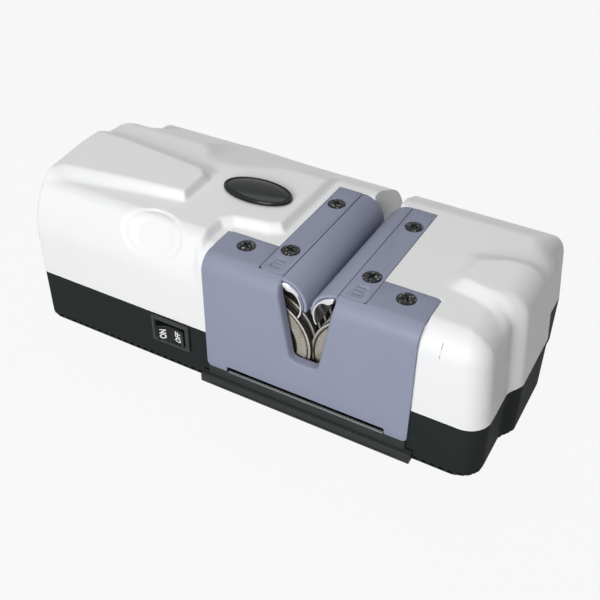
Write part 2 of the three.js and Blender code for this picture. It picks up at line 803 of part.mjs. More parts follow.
function curvedLeaf(side, outer, thickness, from, to, y0, y1) {
  const turn = (angle) => (side < 0 ? angle : Math.PI - angle);
  const cx = slotShift + side * guideCentreX;
  const steps = 9;
  const outside = arc(cx, guideCentreZ, outer, turn(from), turn(to), steps);
  const inside = arc(cx, guideCentreZ, outer - thickness, turn(to), turn(from), steps);
  return alongY([...outside, ...inside], y0, y1);
}

function bladeGuide(side) {
  return curvedLeaf(side, guideRadius, guideThickness, Math.PI / 2, -guideWrap,
    frontWall + guideFront + seatGap, frontWall + stripBack);
}

function guideSpring(side) {
  const radius = guideRadius - guideThickness - seatGap;
  return curvedLeaf(side, radius, springThickness, Math.PI / 2 - guideWrap * 1.5, -springWrap,
    frontWall + guideFront - springFront, frontWall + stripBack - wall);
}

function plateScrew([x, y]) {
  const screw = turnedZ([
    [0, -screwLength], [screwShank, -screwLength], [screwShank, -screwHeadDepth],
    [screwHead, 0], [0, 0],
  ], slotShift + x, frontWall + y, guidePlane, coarse);
  const arm = (halfX, halfY) => block(slotShift + x - halfX, slotShift + x + halfX,
    frontWall + y - halfY, frontWall + y + halfY, guidePlane - crossDepth, guidePlane + overrun);
  return screw.subtract(arm(crossSpan / 2, crossWidth / 2)).subtract(arm(crossWidth / 2, crossSpan / 2));
}

function baseScrew([x, y]) {
  const tip = baseHeight + baseScrewInto;
  return turnedZ([
    [0, faceGap], [baseScrewHead, faceGap], [baseScrewHead, baseScrewHeadDepth],
    [baseScrewShank, baseScrewHeadDepth], [baseScrewShank, tip], [0, tip],
  ], x, y, underside, coarse);
}

function badge() {
  const steps = [0, 0.5, 0.8, 1];
  const profile = [[0, 0], [1, 0], [1, badgeEdge]];
  steps.slice(0, -1).reverse().forEach((share) => {
    profile.push([share, badgeEdge + badgeCrown * (1 - share ** 2)]);
  });
  const points = profile.map(([r, h]) => new THREE.Vector2(r, h));
  points.push(points[0].clone());
  const geometry = new THREE.LatheGeometry(points, fine);
  geometry.rotateX(Math.PI / 2);
  geometry.scale(badgeLength / 2, badgeWidth / 2, 1);
  geometry.translate(slotShift - badgeFromSlot, frontWall + badgeFromFront, padTop + faceGap);
  return toSolid(geometry);
}

function foot([x, y]) {
  return turnedZ([
    [0, 0], [footRadius * 0.9, 0], [footRadius, footHeight / 2], [footRadius, footHeight - faceGap],
    [0, footHeight - faceGap],
  ], x, y, 0, coarse);
}

// Filings tray: a pan under the discs, with a panel and a pull lip in front of the wall
function filingsTray() {
  const panelFront = frontWall - seatGap - trayPanelThickness;
  const panel = block(slotShift - trayHalf, slotShift + trayHalf, panelFront, frontWall - seatGap,
    underside, underside + trayPanelHeight);
  const lip = block(slotShift - trayHalf, slotShift + trayHalf, frontWall - lipReach,
    panelFront + trayPanelThickness / 2, underside, underside + lipHeight);
  const bottom = floorTop + faceGap;
  const pan = block(slotShift - panHalf, slotShift + panHalf, frontWall - seatGap - trayPanelThickness / 2,
    frontWall + panLength, bottom, bottom + panWallHeight);
  const hollow = block(slotShift - panHalf + panWall, slotShift + panHalf - panWall,
    frontWall + panWall, frontWall + panLength - panWall, bottom + panWall, bottom + overrun);
  return union([panel, lip, pan]).subtract(hollow);
}

// Rocker switch, its bezel level with the seam; the rocker's moulded pivots turn in the walls of the well
const bezelFace = frontWall - bezelReach;
const rockerAxisY = bezelFace + rockerRadius * Math.sin(rockerRise) - rockerProud;

function switchBezel() {
  const half = bezelWidth / 2;
  const rim = block(switchX - half, switchX + half, bezelFace, frontWall - faceGap,
    switchZ - bezelHeight / 2, switchZ + bezelHeight / 2);
  const body = block(switchX - switchBodyWidth / 2, switchX + switchBodyWidth / 2, frontWall - wall / 2,
    frontWall + switchDepth, switchZ - switchBodyHeight / 2, switchZ + switchBodyHeight / 2);
  const wellHalf = rockerRadius + rockerGap;
  const well = block(switchX - wellHalf, switchX + wellHalf, bezelFace - overrun,
    rockerAxisY + rockerKeel + rockerRadius * Math.sin(rockerSink + rockerTravel),
    switchZ - rockerHeight / 2 - rockerGap, switchZ + rockerHeight / 2 + rockerGap);
  const pinHoles = rodZ(rockerPinRadius + runningGap, switchX, rockerAxisY,
    switchZ - switchBodyHeight, switchZ + switchBodyHeight, coarse);
  return rim.add(body).subtract(well).subtract(pinHoles);
}

function powerRocker() {
  const r = rockerRadius;
  const rightEnd = arc(0, 0, r, -rockerSink, rockerRise, 4);
  const leftEnd = arc(0, 0, r, Math.PI - rockerRise, Math.PI + rockerSink, 4);
  const crest = r * Math.sin(rockerRise);
  const outline = [
    ...rightEnd,
    [r * Math.cos(rockerRise) / 2, crest - rockerDip * 0.8],
    [0, crest - rockerDip],
    [-r * Math.cos(rockerRise) / 2, crest - rockerDip * 0.8],
    ...leftEnd,
    [-r / 3, -rockerKeel], [r / 3, -rockerKeel],
  ];
  const turned = outline.map(([u, v]) => {
    const angle = rockerTravel;
    const x = u * Math.cos(angle) + v * Math.sin(angle);
    const outward = v * Math.cos(angle) - u * Math.sin(angle);
    return [switchX + x, rockerAxisY - outward];
  });
  return alongZ(turned, switchZ - rockerHeight / 2, switchZ + rockerHeight / 2)
    .add(rodZ(rockerPinRadius, switchX, rockerAxisY, switchZ - switchBodyHeight / 2 + faceGap,
      switchZ + switchBodyHeight / 2 - faceGap, coarse));
}

// Discs on their arbors; the right set stands half a pitch behind the left one
const arborX = (side) => slotShift + side * arborHalf;
const setFront = (side) => frontWall + discFront + (side > 0 ? discPitch / 2 : 0);
const pulleyBack = frontWall + pulleyFront + pulleyWidth;

function disc(side, place) {
  const hubLength = discPitch - seatGap;
  const bore = arborRadius + seatGap;
  return turnedY([
    [bore, 0], [discHub, 0], [discHub, discRecess], [discRing, discRecess], [discRing, 0],
    [discRadius, 0], [discRadius, discThickness], [discRing, discThickness],
    [discRing, discThickness - discRecess], [discHub, discThickness - discRecess],
    [discHub, hubLength], [bore, hubLength],
  ], arborX(side), setFront(side) + place * discPitch, arborZ, middling);
}

function arbor(side) {
  const head = setFront(side) - seatGap - arborHeadDepth;
  const end = side < 0 ? pulleyBack + 2 * seatGap : frontWall + rearBearing + 2 * bearingPlate;
  const length = end - head;
  return turnedY([
    [0, 0], [arborHead, 0], [arborHead, arborHeadDepth], [arborRadius, arborHeadDepth],
    [arborRadius, length], [0, length],
  ], arborX(side), head, arborZ, middling);
}

// Bearing plates stand on the base floor and leave a vee free for the blade
function bearingPlateAt(front) {
  const foot = underside + floorThickness + faceGap;
  const outline = [
    [slotShift - bearingHalf, foot], [slotShift + bearingHalf, foot],
    [slotShift + bearingHalf, underside + bearingTop], [slotShift + bearingVee, underside + bearingTop],
    [slotShift, arborZ + bearingVeeFoot], [slotShift - bearingVee, underside + bearingTop],
    [slotShift - bearingHalf, underside + bearingTop],
  ];
  const y0 = frontWall + front;
  const holes = [-1, 1].flatMap((side) => [
    rodY(bushRadius + faceGap, arborX(side), arborZ, y0 - overrun, y0 + overrun, middling),
    rodY(idlerAxle + runningGap, slotShift + side * gearPitchRadius, arborZ,
      y0 - overrun, y0 + overrun, middling),
  ]);
  return holes.reduce((plate, hole) => plate.subtract(hole), alongY(outline, y0, y0 + bearingPlate));
}

function bushing(side, front, facing) {
  const bore = arborRadius + runningGap;
  const outside = facing * (bushFlangeDepth + faceGap);
  const profile = [
    [bore, -faceGap], [bushFlange, -faceGap], [bushFlange, -bushFlangeDepth - faceGap],
    [bore, -bushFlangeDepth - faceGap],
  ];
  const y0 = frontWall + front + (facing > 0 ? bearingPlate : 0);
  const flange = profile.map(([r, h]) => [r, -h * facing]);
  const sleeve = [
    [bore, outside], [bushRadius, outside],
    [bushRadius, -facing * bearingPlate], [bore, -facing * bearingPlate],
  ];
  return turnedY(flange, arborX(side), y0, arborZ, middling)
    .add(turnedY(sleeve, arborX(side), y0, arborZ, middling));
}

// Gear train: two arbor gears and two idlers, four equal gears in a row
const gearPitchRadius = arborHalf / 3;
const gearModule = 2 * gearPitchRadius / gearTeeth;

function gearOutline(phase) {
  const base = gearPitchRadius * Math.cos(gearPressure);
  const tip = gearPitchRadius + gearAddendumShare * gearModule;
  const root = gearPitchRadius - gearDedendumShare * gearModule;
  const roll = (radius) => {
    const turn = Math.sqrt(Math.max((radius / base) ** 2 - 1, 0));
    return turn - Math.atan(turn);
  };
  const halfTooth = Math.PI / (2 * gearTeeth) - gearBacklash / (2 * gearPitchRadius);
  const radii = [base, gearPitchRadius, tip];
  const flank = radii.map((radius) => [radius, halfTooth + roll(gearPitchRadius) - roll(radius)]);
  const points = [];
  for (let tooth = 0; tooth < gearTeeth; tooth += 1) {
    const centre = phase + 2 * Math.PI * tooth / gearTeeth;
    const place = (radius, angle) => points.push([radius * Math.cos(angle), radius * Math.sin(angle)]);
    place(root, centre - flank[0][1]);
    flank.forEach(([radius, half]) => place(radius, centre - half));
    [...flank].reverse().forEach(([radius, half]) => place(radius, centre + half));
    place(root, centre + flank[0][1]);
  }
  return points;
}

function gear(x, phase) {
  const outline = gearOutline(phase).map(([a, b]) => [x + a, arborZ + b]);
  return alongY(outline, frontWall + gearFront, frontWall + gearFront + gearWidth);
}

function arborGear(side) {
  const phase = side < 0 ? 0 : Math.PI / gearTeeth;
  return gear(arborX(side), phase)
    .subtract(rodY(arborRadius + faceGap, arborX(side), arborZ, frontWall, backWall, coarse));
}

function idlerGear(side) {
  const phase = side < 0 ? Math.PI / gearTeeth : 0;
  const x = slotShift + side * gearPitchRadius;
  return gear(x, phase).add(rodY(idlerAxle, x, arborZ, frontWall + frontBearing - faceGap,
    frontWall + rearBearing + bearingPlate + faceGap, middling));
}

// Pulleys and belt
function pulley(radius, bore, x, z) {
  const groove = (pulleyWidth - beltWidth) / 2 - seatGap;
  return turnedY([
    [bore, 0], [radius + pulleyFlange, 0], [radius + pulleyFlange, groove], [radius, groove],
    [radius, pulleyWidth - groove], [radius + pulleyFlange, pulleyWidth - groove],
    [radius + pulleyFlange, pulleyWidth], [bore, pulleyWidth],
  ], x, frontWall + pulleyFront, z, middling);
}

const motorX = slotShift - motorFromSlot;
const motorZ = underside + motorHeight;

function beltLoop(gap) {
  const dx = arborX(-1) - motorX;
  const dz = arborZ - motorZ;
  const lean = Math.atan2(dz, dx);
  const spread = Math.asin((drivenRadius - motorPulleyRadius) / Math.hypot(dx, dz));
  const upper = lean + Math.PI / 2 + spread;
  const lower = lean - Math.PI / 2 - spread;
  return [
    ...arc(arborX(-1), arborZ, drivenRadius + gap, lower, upper, 14),
    ...arc(motorX, motorZ, motorPulleyRadius + gap, upper, lower + 2 * Math.PI, 10),
  ];
}

function driveBelt() {
  const y0 = frontWall + pulleyFront + (pulleyWidth - beltWidth) / 2;
  const inside = alongY(beltLoop(seatGap), y0 - overrun, y0 + overrun);
  return alongY(beltLoop(seatGap + beltThickness), y0, y0 + beltWidth).subtract(inside);
}

// Motor
function motorStator() {
  const y0 = frontWall + statorFront;
  const left = motorX - statorHalf;
  const core = block(left, motorX + statorHalf, y0, y0 + statorLength,
    motorZ - statorBelow, motorZ + statorAbove);
  const bore = rodY(rotorRadius + rotorGap, motorX, motorZ, y0 - overrun, y0 + 2 * overrun, fine);
  const window = block(left + coilLeg, left + coilLeg + coilWindow, y0 - overrun, y0 + 2 * overrun,
    motorZ - statorBelow + coilInset, motorZ + statorAbove - coilInset);
  return core.subtract(bore).subtract(window);
}

function motorWinding() {
  const left = motorX - statorHalf;
  const y0 = frontWall + statorFront;
  const low = motorZ - statorBelow + coilInset + seatGap;
  const high = motorZ + statorAbove - coilInset - seatGap;
  const around = block(left - coilThickness, left + coilLeg + coilThickness, y0 - coilThickness,
    y0 + statorLength + coilThickness, low, high);
  const hole = block(left - seatGap, left + coilLeg + seatGap / 2, y0 - seatGap, y0 + statorLength + seatGap,
    low - overrun, high + overrun);
  return around.subtract(hole);
}

function motorRotor() {
  const y0 = frontWall + rotorShaftFront;
  const core0 = statorFront - rotorShaftFront;
  const core1 = core0 + statorLength;
  const length = pulleyBack - y0;
  return turnedY([
    [0, 0], [rotorShaft, 0], [rotorShaft, core0 + rotorGap], [rotorRadius, core0 + rotorGap],
    [rotorRadius, core1 - rotorGap], [rotorShaft, core1 - rotorGap], [rotorShaft, length], [0, length],
  ], motorX, y0, motorZ, fine);
}

function motorBracket(y0) {
  const [foot, shoulder] = [floorTop + faceGap, motorZ + bracketAbove];
  const crest = shoulder + bracketHalf / 2;
  const outline = [
    [motorX - bracketHalf, foot], [motorX + bracketHalf, foot], [motorX + bracketHalf, shoulder],
    [motorX + bracketHalf / 2, crest], [motorX - bracketHalf / 2, crest], [motorX - bracketHalf, shoulder],
  ];
  return alongY(outline, y0, y0 + bracketThickness)
    .subtract(rodY(rotorShaft + runningGap, motorX, motorZ, y0 - overrun, y0 + overrun, fine));
}

function coolingFan() {
  const y0 = frontWall + rotorShaftFront + wall;
  const middle = y0 + fanWidth / 2;
  const hub = turnedY([
    [rotorShaft + faceGap, 0], [fanHub, 0], [fanHub, fanWidth], [rotorShaft + faceGap, fanWidth],
  ], motorX, y0, motorZ, middling);
  const blades = Array.from({ length: fanBlades }, (_, i) => {
    const reach = fanRadius - fanHub + fanBlade;
    const geometry = new THREE.BoxGeometry(fanWidth, fanBlade, reach);
    geometry.rotateZ(fanPitch);
    geometry.translate(0, 0, fanHub - fanBlade + reach / 2);
    geometry.rotateY(2 * Math.PI * i / fanBlades);
    geometry.translate(motorX, middle, motorZ);
    return toSolid(geometry);
  });
  return union([hub, ...blades]);
}

// Cord gland, flush with the back of the base, and terminal block
function cordGland() {
  const length = glandLength;
  return turnedY([
    [glandBore, -length], [glandRadius, -length], [glandRadius, -glandFlangeDepth],
    [glandFlange, -glandFlangeDepth], [glandFlange, 0], [glandBore, 0],
  ], glandX, backWall, glandZ, middling);
}

function terminalBlock() {
  const x = slotShift - terminalFromSlot;
  const y = backWall - terminalFromBack;
  const z = floorTop + faceGap;
  const wells = [-1, 0, 1].map((step) => (
    rodZ(terminalWell.radius, x + step * terminalWell.pitch, y, z + terminalSize.z - terminalWell.depth,
      z + overrun, coarse)
  ));
  return wells.reduce(
    (body, well) => body.subtract(well),
    block(x - terminalSize.x / 2, x + terminalSize.x / 2, y - terminalSize.y / 2, y + terminalSize.y / 2,
      z, z + terminalSize.z),
  );
}

// Finishes
const finish = (color, roughness, metalness) => () => (
  new THREE.MeshStandardMaterial({ color, roughness, metalness })
);
const whiteShell = finish(0xf1f2f2, 0.35, 0);
const blackShell = finish(0x323534, 0.55, 0);
const greyMetal = finish(0x8a90a6, 0.45, 0.35);
const brightSteel = finish(0xcfd2d6, 0.25, 0.9);
const blackSteel = finish(0x1d1e1f, 0.4, 0.6);
const abrasive = finish(0x8c887c, 0.85, 0.1);
const plainSteel = finish(0x9ea1a4, 0.4, 0.9);
const bronze = finish(0xa0743c, 0.5, 0.8);
const nylon = finish(0xe6e2d4, 0.6, 0);
const copper = finish(0xa8552c, 0.5, 0.6);
const rubber = finish(0x151515, 0.9, 0);
const glossBlack = finish(0x1b1d1d, 0.2, 0);

// Assembly
const sharpener = new THREE.Group();

function add(name, solid, material) {
  const mesh = new THREE.Mesh(toGeometry(solid), material());
  mesh.name = name;
  sharpener.add(mesh);
}

add('upper_housing', upperHousing(), whiteShell);
add('base_shell', baseShell(), blackShell);
add('front_plate', frontPlate(), greyMetal);
[['left', -1], ['right', 1]].forEach(([word, side]) => {
  add(`${word}_guide_strip`, guideStrip(side), greyMetal);
  add(`${word}_blade_guide`, bladeGuide(side), greyMetal);
  add(`${word}_guide_spring`, guideSpring(side), brightSteel);
});
add('badge', badge(), glossBlack);
Object.entries(topScrews).forEach(([name, place]) => add(name, plateScrew(place), blackSteel));
Object.entries(baseScrews).forEach(([name, place]) => add(name, baseScrew(place), blackSteel));

const footX = bodyLength / 2 - footInset.x;
const feet = {
  foot_front_left: [-footX, frontWall + footInset.y],
  foot_front_right: [footX, frontWall + footInset.y],
  foot_back_left: [-footX, backWall - footInset.y],
  foot_back_right: [footX, backWall - footInset.y],
};
Object.entries(feet).forEach(([name, place]) => add(name, foot(place), rubber));

add('filings_tray', filingsTray(), blackShell);
add('switch_bezel', switchBezel(), glossBlack);
add('power_rocker', powerRocker(), glossBlack);

[['left', -1], ['right', 1]].forEach(([word, side]) => {
  for (let place = 0; place < discsPerArbor; place += 1) {
    add(`${word}_disc_${place + 1}`, disc(side, place), abrasive);
  }
  add(`${word}_arbor`, arbor(side), plainSteel);
  add(`${word}_gear`, arborGear(side), nylon);
  add(`${word}_idler_gear`, idlerGear(side), nylon);
  add(`${word}_front_bushing`, bushing(side, frontBearing, -1), bronze);
  add(`${word}_rear_bushing`, bushing(side, rearBearing, 1), bronze);
});
add('front_bearing_plate', bearingPlateAt(frontBearing), plainSteel);
add('rear_bearing_plate', bearingPlateAt(rearBearing), plainSteel);

add('driven_pulley', pulley(drivenRadius, arborRadius + seatGap, arborX(-1), arborZ), nylon);
add('motor_pulley', pulley(motorPulleyRadius, rotorShaft + seatGap, motorX, motorZ), nylon);
add('drive_belt', driveBelt(), rubber);
add('motor_stator', motorStator(), plainSteel);
add('motor_winding', motorWinding(), copper);
add('motor_rotor', motorRotor(), plainSteel);
add('motor_front_bracket', motorBracket(frontWall + statorFront - seatGap - bracketThickness), plainSteel);
add('motor_rear_bracket', motorBracket(frontWall + statorFront + statorLength + seatGap), plainSteel);
add('cooling_fan', coolingFan(), nylon);
add('cord_gland', cordGland(), rubber);
add('terminal_block', terminalBlock(), nylon);

export default sharpener;
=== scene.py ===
"""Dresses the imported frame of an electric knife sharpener: smooth mouldings, bent sheet, discs and studio."""
from __future__ import annotations

import sys

import logging
import math
from dataclasses import dataclass, field
from enum import Enum
from functools import reduce
from typing import Callable, Iterable, Sequence

import bmesh
import bpy
import numpy as np
from mathutils import Matrix, Vector
from mathutils.geometry import delaunay_2d_cdt

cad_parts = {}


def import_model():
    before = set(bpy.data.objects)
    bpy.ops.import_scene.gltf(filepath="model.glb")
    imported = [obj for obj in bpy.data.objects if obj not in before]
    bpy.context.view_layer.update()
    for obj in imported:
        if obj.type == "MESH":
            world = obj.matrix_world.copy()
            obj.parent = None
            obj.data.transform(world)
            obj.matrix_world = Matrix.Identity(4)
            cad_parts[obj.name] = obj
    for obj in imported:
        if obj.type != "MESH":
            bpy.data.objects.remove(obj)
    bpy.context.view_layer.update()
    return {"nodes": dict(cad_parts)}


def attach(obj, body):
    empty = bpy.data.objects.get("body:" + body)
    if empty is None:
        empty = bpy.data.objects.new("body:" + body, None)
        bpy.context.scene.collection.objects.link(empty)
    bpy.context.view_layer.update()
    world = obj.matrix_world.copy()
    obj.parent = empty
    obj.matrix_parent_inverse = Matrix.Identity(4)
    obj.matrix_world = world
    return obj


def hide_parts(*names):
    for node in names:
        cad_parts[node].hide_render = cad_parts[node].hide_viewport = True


LOG = logging.getLogger("sharpener")
MM = 0.001

# Planes and walls that pieces share, in millimetres

SLOT = 34.0
FRONT = -55.0
BACK = 59.0
DEPTH = BACK - FRONT
HALF_LENGTH = 123.0
UNDERSIDE = 3.0
FLOOR_TOP = 5.5
SEAM = 31.0
PLANE = 76.3
PAD_TOP = 80.3
WALL = 2.5
GAP = 0.3
SLOT_HALF = 13.55
MOUTH_HALF = 6.4
MOUTH_FOOT = 35.8
MOUTH_SLANT = (SLOT_HALF - MOUTH_HALF) / 40.5
ARBOR_REACH = 23.4
ARBOR_HEIGHT = 38.5
GLAND_X = -94.0
GLAND_Z = 17.0
BORE = 1.8
POST = 4.6
AHEAD = -80.0
ABOVE = 120.0

Array = np.ndarray
Colour = tuple[float, float, float]
Place = tuple[float, float, float]
Point = tuple[float, float]


class Axis(Enum):
    """The line that a prism or turned piece runs along."""

    X = 0
    Y = 1
    Z = 2


class Side(Enum):
    """Left or right of the blade slot."""

    LEFT = -1
    RIGHT = 1

    @property
    def word(self) -> str:
        """The side's name as the nodes write it."""
        return self.name.lower()


# Shader graph

class Wire:
    """A shader socket that takes part in arithmetic."""

    def __init__(self, graph: Graph, socket: bpy.types.NodeSocket) -> None:
        """Keeps the socket and the graph that it belongs to."""
        self.graph = graph
        self.socket = socket

    def maths(self, operation: str, first: object, second: object) -> Wire:
        """Adds one Math node."""
        return self.graph.add("ShaderNodeMath", {"operation": operation}, {0: first, 1: second})

    def __add__(self, other: object) -> Wire:
        """Sum."""
        return self.maths("ADD", self, other)

    def __sub__(self, other: object) -> Wire:
        """Difference."""
        return self.maths("SUBTRACT", self, other)

    def __rsub__(self, other: object) -> Wire:
        """Difference, reflected."""
        return self.maths("SUBTRACT", other, self)

    def __mul__(self, other: object) -> Wire:
        """Product."""
        return self.maths("MULTIPLY", self, other)

    def __pow__(self, other: object) -> Wire:
        """Power."""
        return self.maths("POWER", self, other)

    __radd__ = __add__
    __rmul__ = __mul__


class Graph:
    """One node material with its Principled shader."""

    def __init__(self, name: str) -> None:
        """Makes the material and its shader.

        Args:
            name: The material's name.
        """
        self.material = bpy.data.materials.new(name)
        self.material.use_nodes = True
        self.tree = self.material.node_tree
        self.tree.nodes.clear()
        self.shader = self.tree.nodes.new("ShaderNodeBsdfPrincipled")
        output = self.tree.nodes.new("ShaderNodeOutputMaterial")
        self.tree.links.new(self.shader.outputs[0], output.inputs[0])

    def feed(self, socket: bpy.types.NodeSocket, value: object) -> None:
        """Links a wire to a socket, or sets its value.

        Args:
            socket: The socket to feed.
            value: A wire, a number, or a colour of three parts.
        """
        if isinstance(value, Wire):
            self.tree.links.new(value.socket, socket)
        elif isinstance(value, (tuple, list)) and len(value) == 3 and len(socket.default_value) == 4:
            socket.default_value = (*value, 1.0)
        else:
            socket.default_value = value

    def add(self, kind: str, settings: dict, inputs: dict, output: int | str = 0) -> Wire:
        """Adds any node.

        Args:
            kind: The node's type.
            settings: Its properties.
            inputs: A value or wire for each socket, by place or name.
            output: The socket to return.

        Returns:
            The wire of that output.
        """
        node = self.tree.nodes.new(kind)
        for key, value in settings.items():
            setattr(node, key, value)
        for key, value in inputs.items():
            self.feed(node.inputs[key], value)
        return Wire(self, node.outputs[output])

    def place(self) -> Wire:
        """Object coordinates, in metres."""
        return self.add("ShaderNodeTexCoord", {}, {}, "Object")

    def stretched(self, scale: Place, shift: Place = (0, 0, 0)) -> Wire:
        """Object coordinates moved and scaled.

        Args:
            scale: The scale of each part.
            shift: The place that comes to the origin.

        Returns:
            The coordinates.
        """
        moved = tuple(-s * k for s, k in zip(shift, scale))
        return self.add("ShaderNodeMapping", {"vector_type": "POINT"},
                        {"Vector": self.place(), "Scale": scale, "Location": moved})

    def noise(self, vector: Wire, scale: float, detail: float = 2.0, rough: float = 0.5) -> Wire:
        """Fractal noise, 0 to 1."""
        return self.add("ShaderNodeTexNoise", {},
                        {"Vector": vector, "Scale": scale, "Detail": detail, "Roughness": rough})

    def split(self, vector: Wire) -> list[Wire]:
        """The three parts of a vector."""
        return [self.add("ShaderNodeSeparateXYZ", {}, {0: vector}, i) for i in range(3)]

    def joined(self, x: object, y: object, z: object) -> Wire:
        """A vector of three parts."""
        return self.add("ShaderNodeCombineXYZ", {}, {0: x, 1: y, 2: z})

    def span(self, value: Wire, low: float, high: float, to_low: float = 0.0, to_high: float = 1.0) -> Wire:
        """A value carried smoothly from one span to another."""
        return self.add("ShaderNodeMapRange", {"interpolation_type": "SMOOTHSTEP"},
                        {0: value, 1: low, 2: high, 3: to_low, 4: to_high})

    def mix(self, share: object, first: object, second: object) -> Wire:
        """A colour between two others."""
        return self.add("ShaderNodeMix", {"data_type": "RGBA"}, {0: share, 6: first, 7: second}, 2)

    def bump(self, height: Wire, depth: float) -> Wire:
        """A normal from a height of that depth in metres."""
        return self.add("ShaderNodeBump", {}, {"Height": height, "Distance": depth, "Strength": 1.0})

    def finish(self, **sockets: object) -> bpy.types.Material:
        """Sets the shader's sockets and returns the material.

        Args:
            sockets: A value or wire for each, named with _ for a space.

        Returns:
            The finished material.
        """
        for name, value in sockets.items():
            self.feed(self.shader.inputs[name.replace("_", " ")], value)
        return self.material


def shade(colour: Colour, factor: float) -> Colour:
    """A colour made lighter or darker."""
    return tuple(min(c * factor, 1.0) for c in colour)


# Finishes

@dataclass(frozen=True)
class Coat:
    """A built material and the name of its slot."""

    material: bpy.types.Material
    slot: str


@dataclass(frozen=True)
class Finish:
    """A procedural material, named, for one slot."""

    name: str
    slot: str

    def material(self) -> bpy.types.Material:
        """Builds the material."""
        raise NotImplementedError


@dataclass(frozen=True)
class MouldedPlastic(Finish):
    """Injection moulded plastic: fine spark-eroded grain, slight cloudiness and handling marks."""

    colour: Colour
    roughness: float
    grain: float = 3200.0
    depth: float = 0.00004
    cloud: float = 0.03
    coat: float = 0.0
    specular: float = 0.5

    def material(self) -> bpy.types.Material:
        """Builds the material.

        Returns:
            The material.
        """
        g = Graph(self.name)
        place = g.place()
        clouds = g.noise(place, 38.0, 3.0)
        grain = g.noise(place, self.grain, 2.0, 0.6)
        rubbed = g.span(g.noise(g.stretched((26.0, 60.0, 40.0)), 1.0, 5.0, 0.65), 0.45, 0.75)
        tone = g.mix(clouds, shade(self.colour, 1 - self.cloud), shade(self.colour, 1 + self.cloud))
        colour = g.mix(g.span(grain, 0.3, 0.42, 0.25, 0.0), tone, shade(self.colour, 0.82))
        rough = self.roughness + (clouds - 0.5) * 0.08 + rubbed * 0.06
        return g.finish(Base_Color=colour, Roughness=rough, Coat_Weight=self.coat, Coat_Roughness=0.12,
                        Specular_IOR_Level=self.specular, Normal=g.bump(grain, self.depth))


@dataclass(frozen=True)
class PaintedSheet(Finish):
    """Sheet steel in satin metallic paint: flakes, faint orange peel and lighter rubbed places."""

    colour: Colour

    def material(self) -> bpy.types.Material:
        """Builds the material.

        Returns:
            The material.
        """
        g = Graph(self.name)
        place = g.place()
        flakes = g.add("ShaderNodeTexVoronoi", {}, {"Vector": place, "Scale": 5200.0}, "Color")
        flake = g.add("ShaderNodeSeparateColor", {}, {0: flakes}, 0)
        clouds = g.noise(place, 30.0, 3.0)
        peel = g.noise(place, 900.0)
        drawn = g.noise(g.stretched((22.0, 150.0, 22.0)), 1.0, 4.0)
        tone = g.mix(clouds, shade(self.colour, 0.95), shade(self.colour, 1.05))
        colour = g.mix(g.span(flake, 0.55, 1.0, 0.0, 0.3), tone, shade(self.colour, 1.3))
        rough = 0.44 + clouds * 0.06 + g.span(drawn, 0.55, 0.8) * 0.07
        return g.finish(Base_Color=colour, Metallic=0.03, Roughness=rough, Specular_IOR_Level=0.1,
                        Normal=g.bump(peel + flake * 0.25, 0.00002))


@dataclass(frozen=True)
class BrushedMetal(Finish):
    """Bare metal with drawn or turned lines that run along one axis."""

    colour: Colour
    roughness: float = 0.28
    along: Place = (2600.0, 40.0, 2600.0)
    stain: float = 0.25

    def material(self) -> bpy.types.Material:
        """Builds the material.

        Returns:
            The material.
        """
        g = Graph(self.name)
        lines = g.noise(g.stretched(self.along), 1.0, 4.0, 0.6)
        stains = g.span(g.noise(g.place(), 90.0, 4.0), 0.5, 0.72)
        tone = g.mix(lines, shade(self.colour, 0.8), shade(self.colour, 1.15))
        colour = g.mix(stains * self.stain, tone, shade(self.colour, 0.55))
        rough = self.roughness + lines * 0.14 + stains * 0.1
        return g.finish(Base_Color=colour, Metallic=0.95, Roughness=rough, Normal=g.bump(lines, 0.00003))


@dataclass(frozen=True)
class AbrasiveDisc(Finish):
    """Grit-coated grinding ring: swept streaks, a pale worn rim whose pale colour is a painted highlight, a
    narrow recess darkened with painted shade, and a dark edge and hub.
    """

    centre_x: float
    centre_z: float

    def material(self) -> bpy.types.Material:
        """Builds the material.

        Returns:
            The material.
        """
        g = Graph(self.name)
        x, y, z = g.split(g.stretched((1.0, 1.0, 1.0), (self.centre_x, 0.0, self.centre_z)))
        radius = (x * x + z * z) ** 0.5
        angle = z.maths("ARCTAN2", z, x)
        lines = g.noise(g.joined(radius * 5200.0, angle * 9.0, y * 800.0), 1.0, 4.0, 0.65)
        rays = g.noise(g.joined(radius * 260.0, angle * 60.0, 0.0), 1.0, 3.0)
        grit = g.add("ShaderNodeTexVoronoi", {}, {"Vector": g.place(), "Scale": 4200.0}, "Distance")
        dust = g.noise(g.place(), 260.0, 4.0)
        beige = g.mix(lines, (0.17, 0.15, 0.12), (0.47, 0.44, 0.38))
        face = g.mix(g.span(rays, 0.45, 0.7, 0.0, 0.5), beige, (0.58, 0.56, 0.51))
        face = g.mix(g.span(dust, 0.5, 0.75, 0.0, 0.5), face, (0.10, 0.075, 0.05))
        hub = g.span(radius, 0.0168, 0.0173)
        # Painted shade: the narrow recess near the edge is painted nearly black.
        groove_shade = g.span(radius, 0.0219, 0.0222) - g.span(radius, 0.0227, 0.023)
        # The rim ring on the rounded outer edge: its pale colour is a painted highlight; more metal and less
        # roughness stand for wear.
        rim = g.span(radius, 0.0232, 0.0238)
        edge = g.span(radius, 0.02391, 0.02398)
        colour = g.mix(hub, (0.014, 0.012, 0.011), face)
        # Painted shade darkens the narrow recess.
        colour = g.mix(groove_shade, colour, (0.02, 0.017, 0.014))
        # Painted highlight: the rim ring is painted pale.
        colour = g.mix(rim, colour, (0.56, 0.55, 0.52))
        colour = g.mix(edge, colour, g.mix(grit, (0.014, 0.01, 0.007), (0.05, 0.04, 0.028)))
        rough = 0.78 - rim * 0.35 + edge * 0.35 + lines * 0.1
        return g.finish(Base_Color=colour, Metallic=(rim - edge) * 0.7, Roughness=rough,
                        Normal=g.bump(lines * 0.6 + grit, 0.00008))


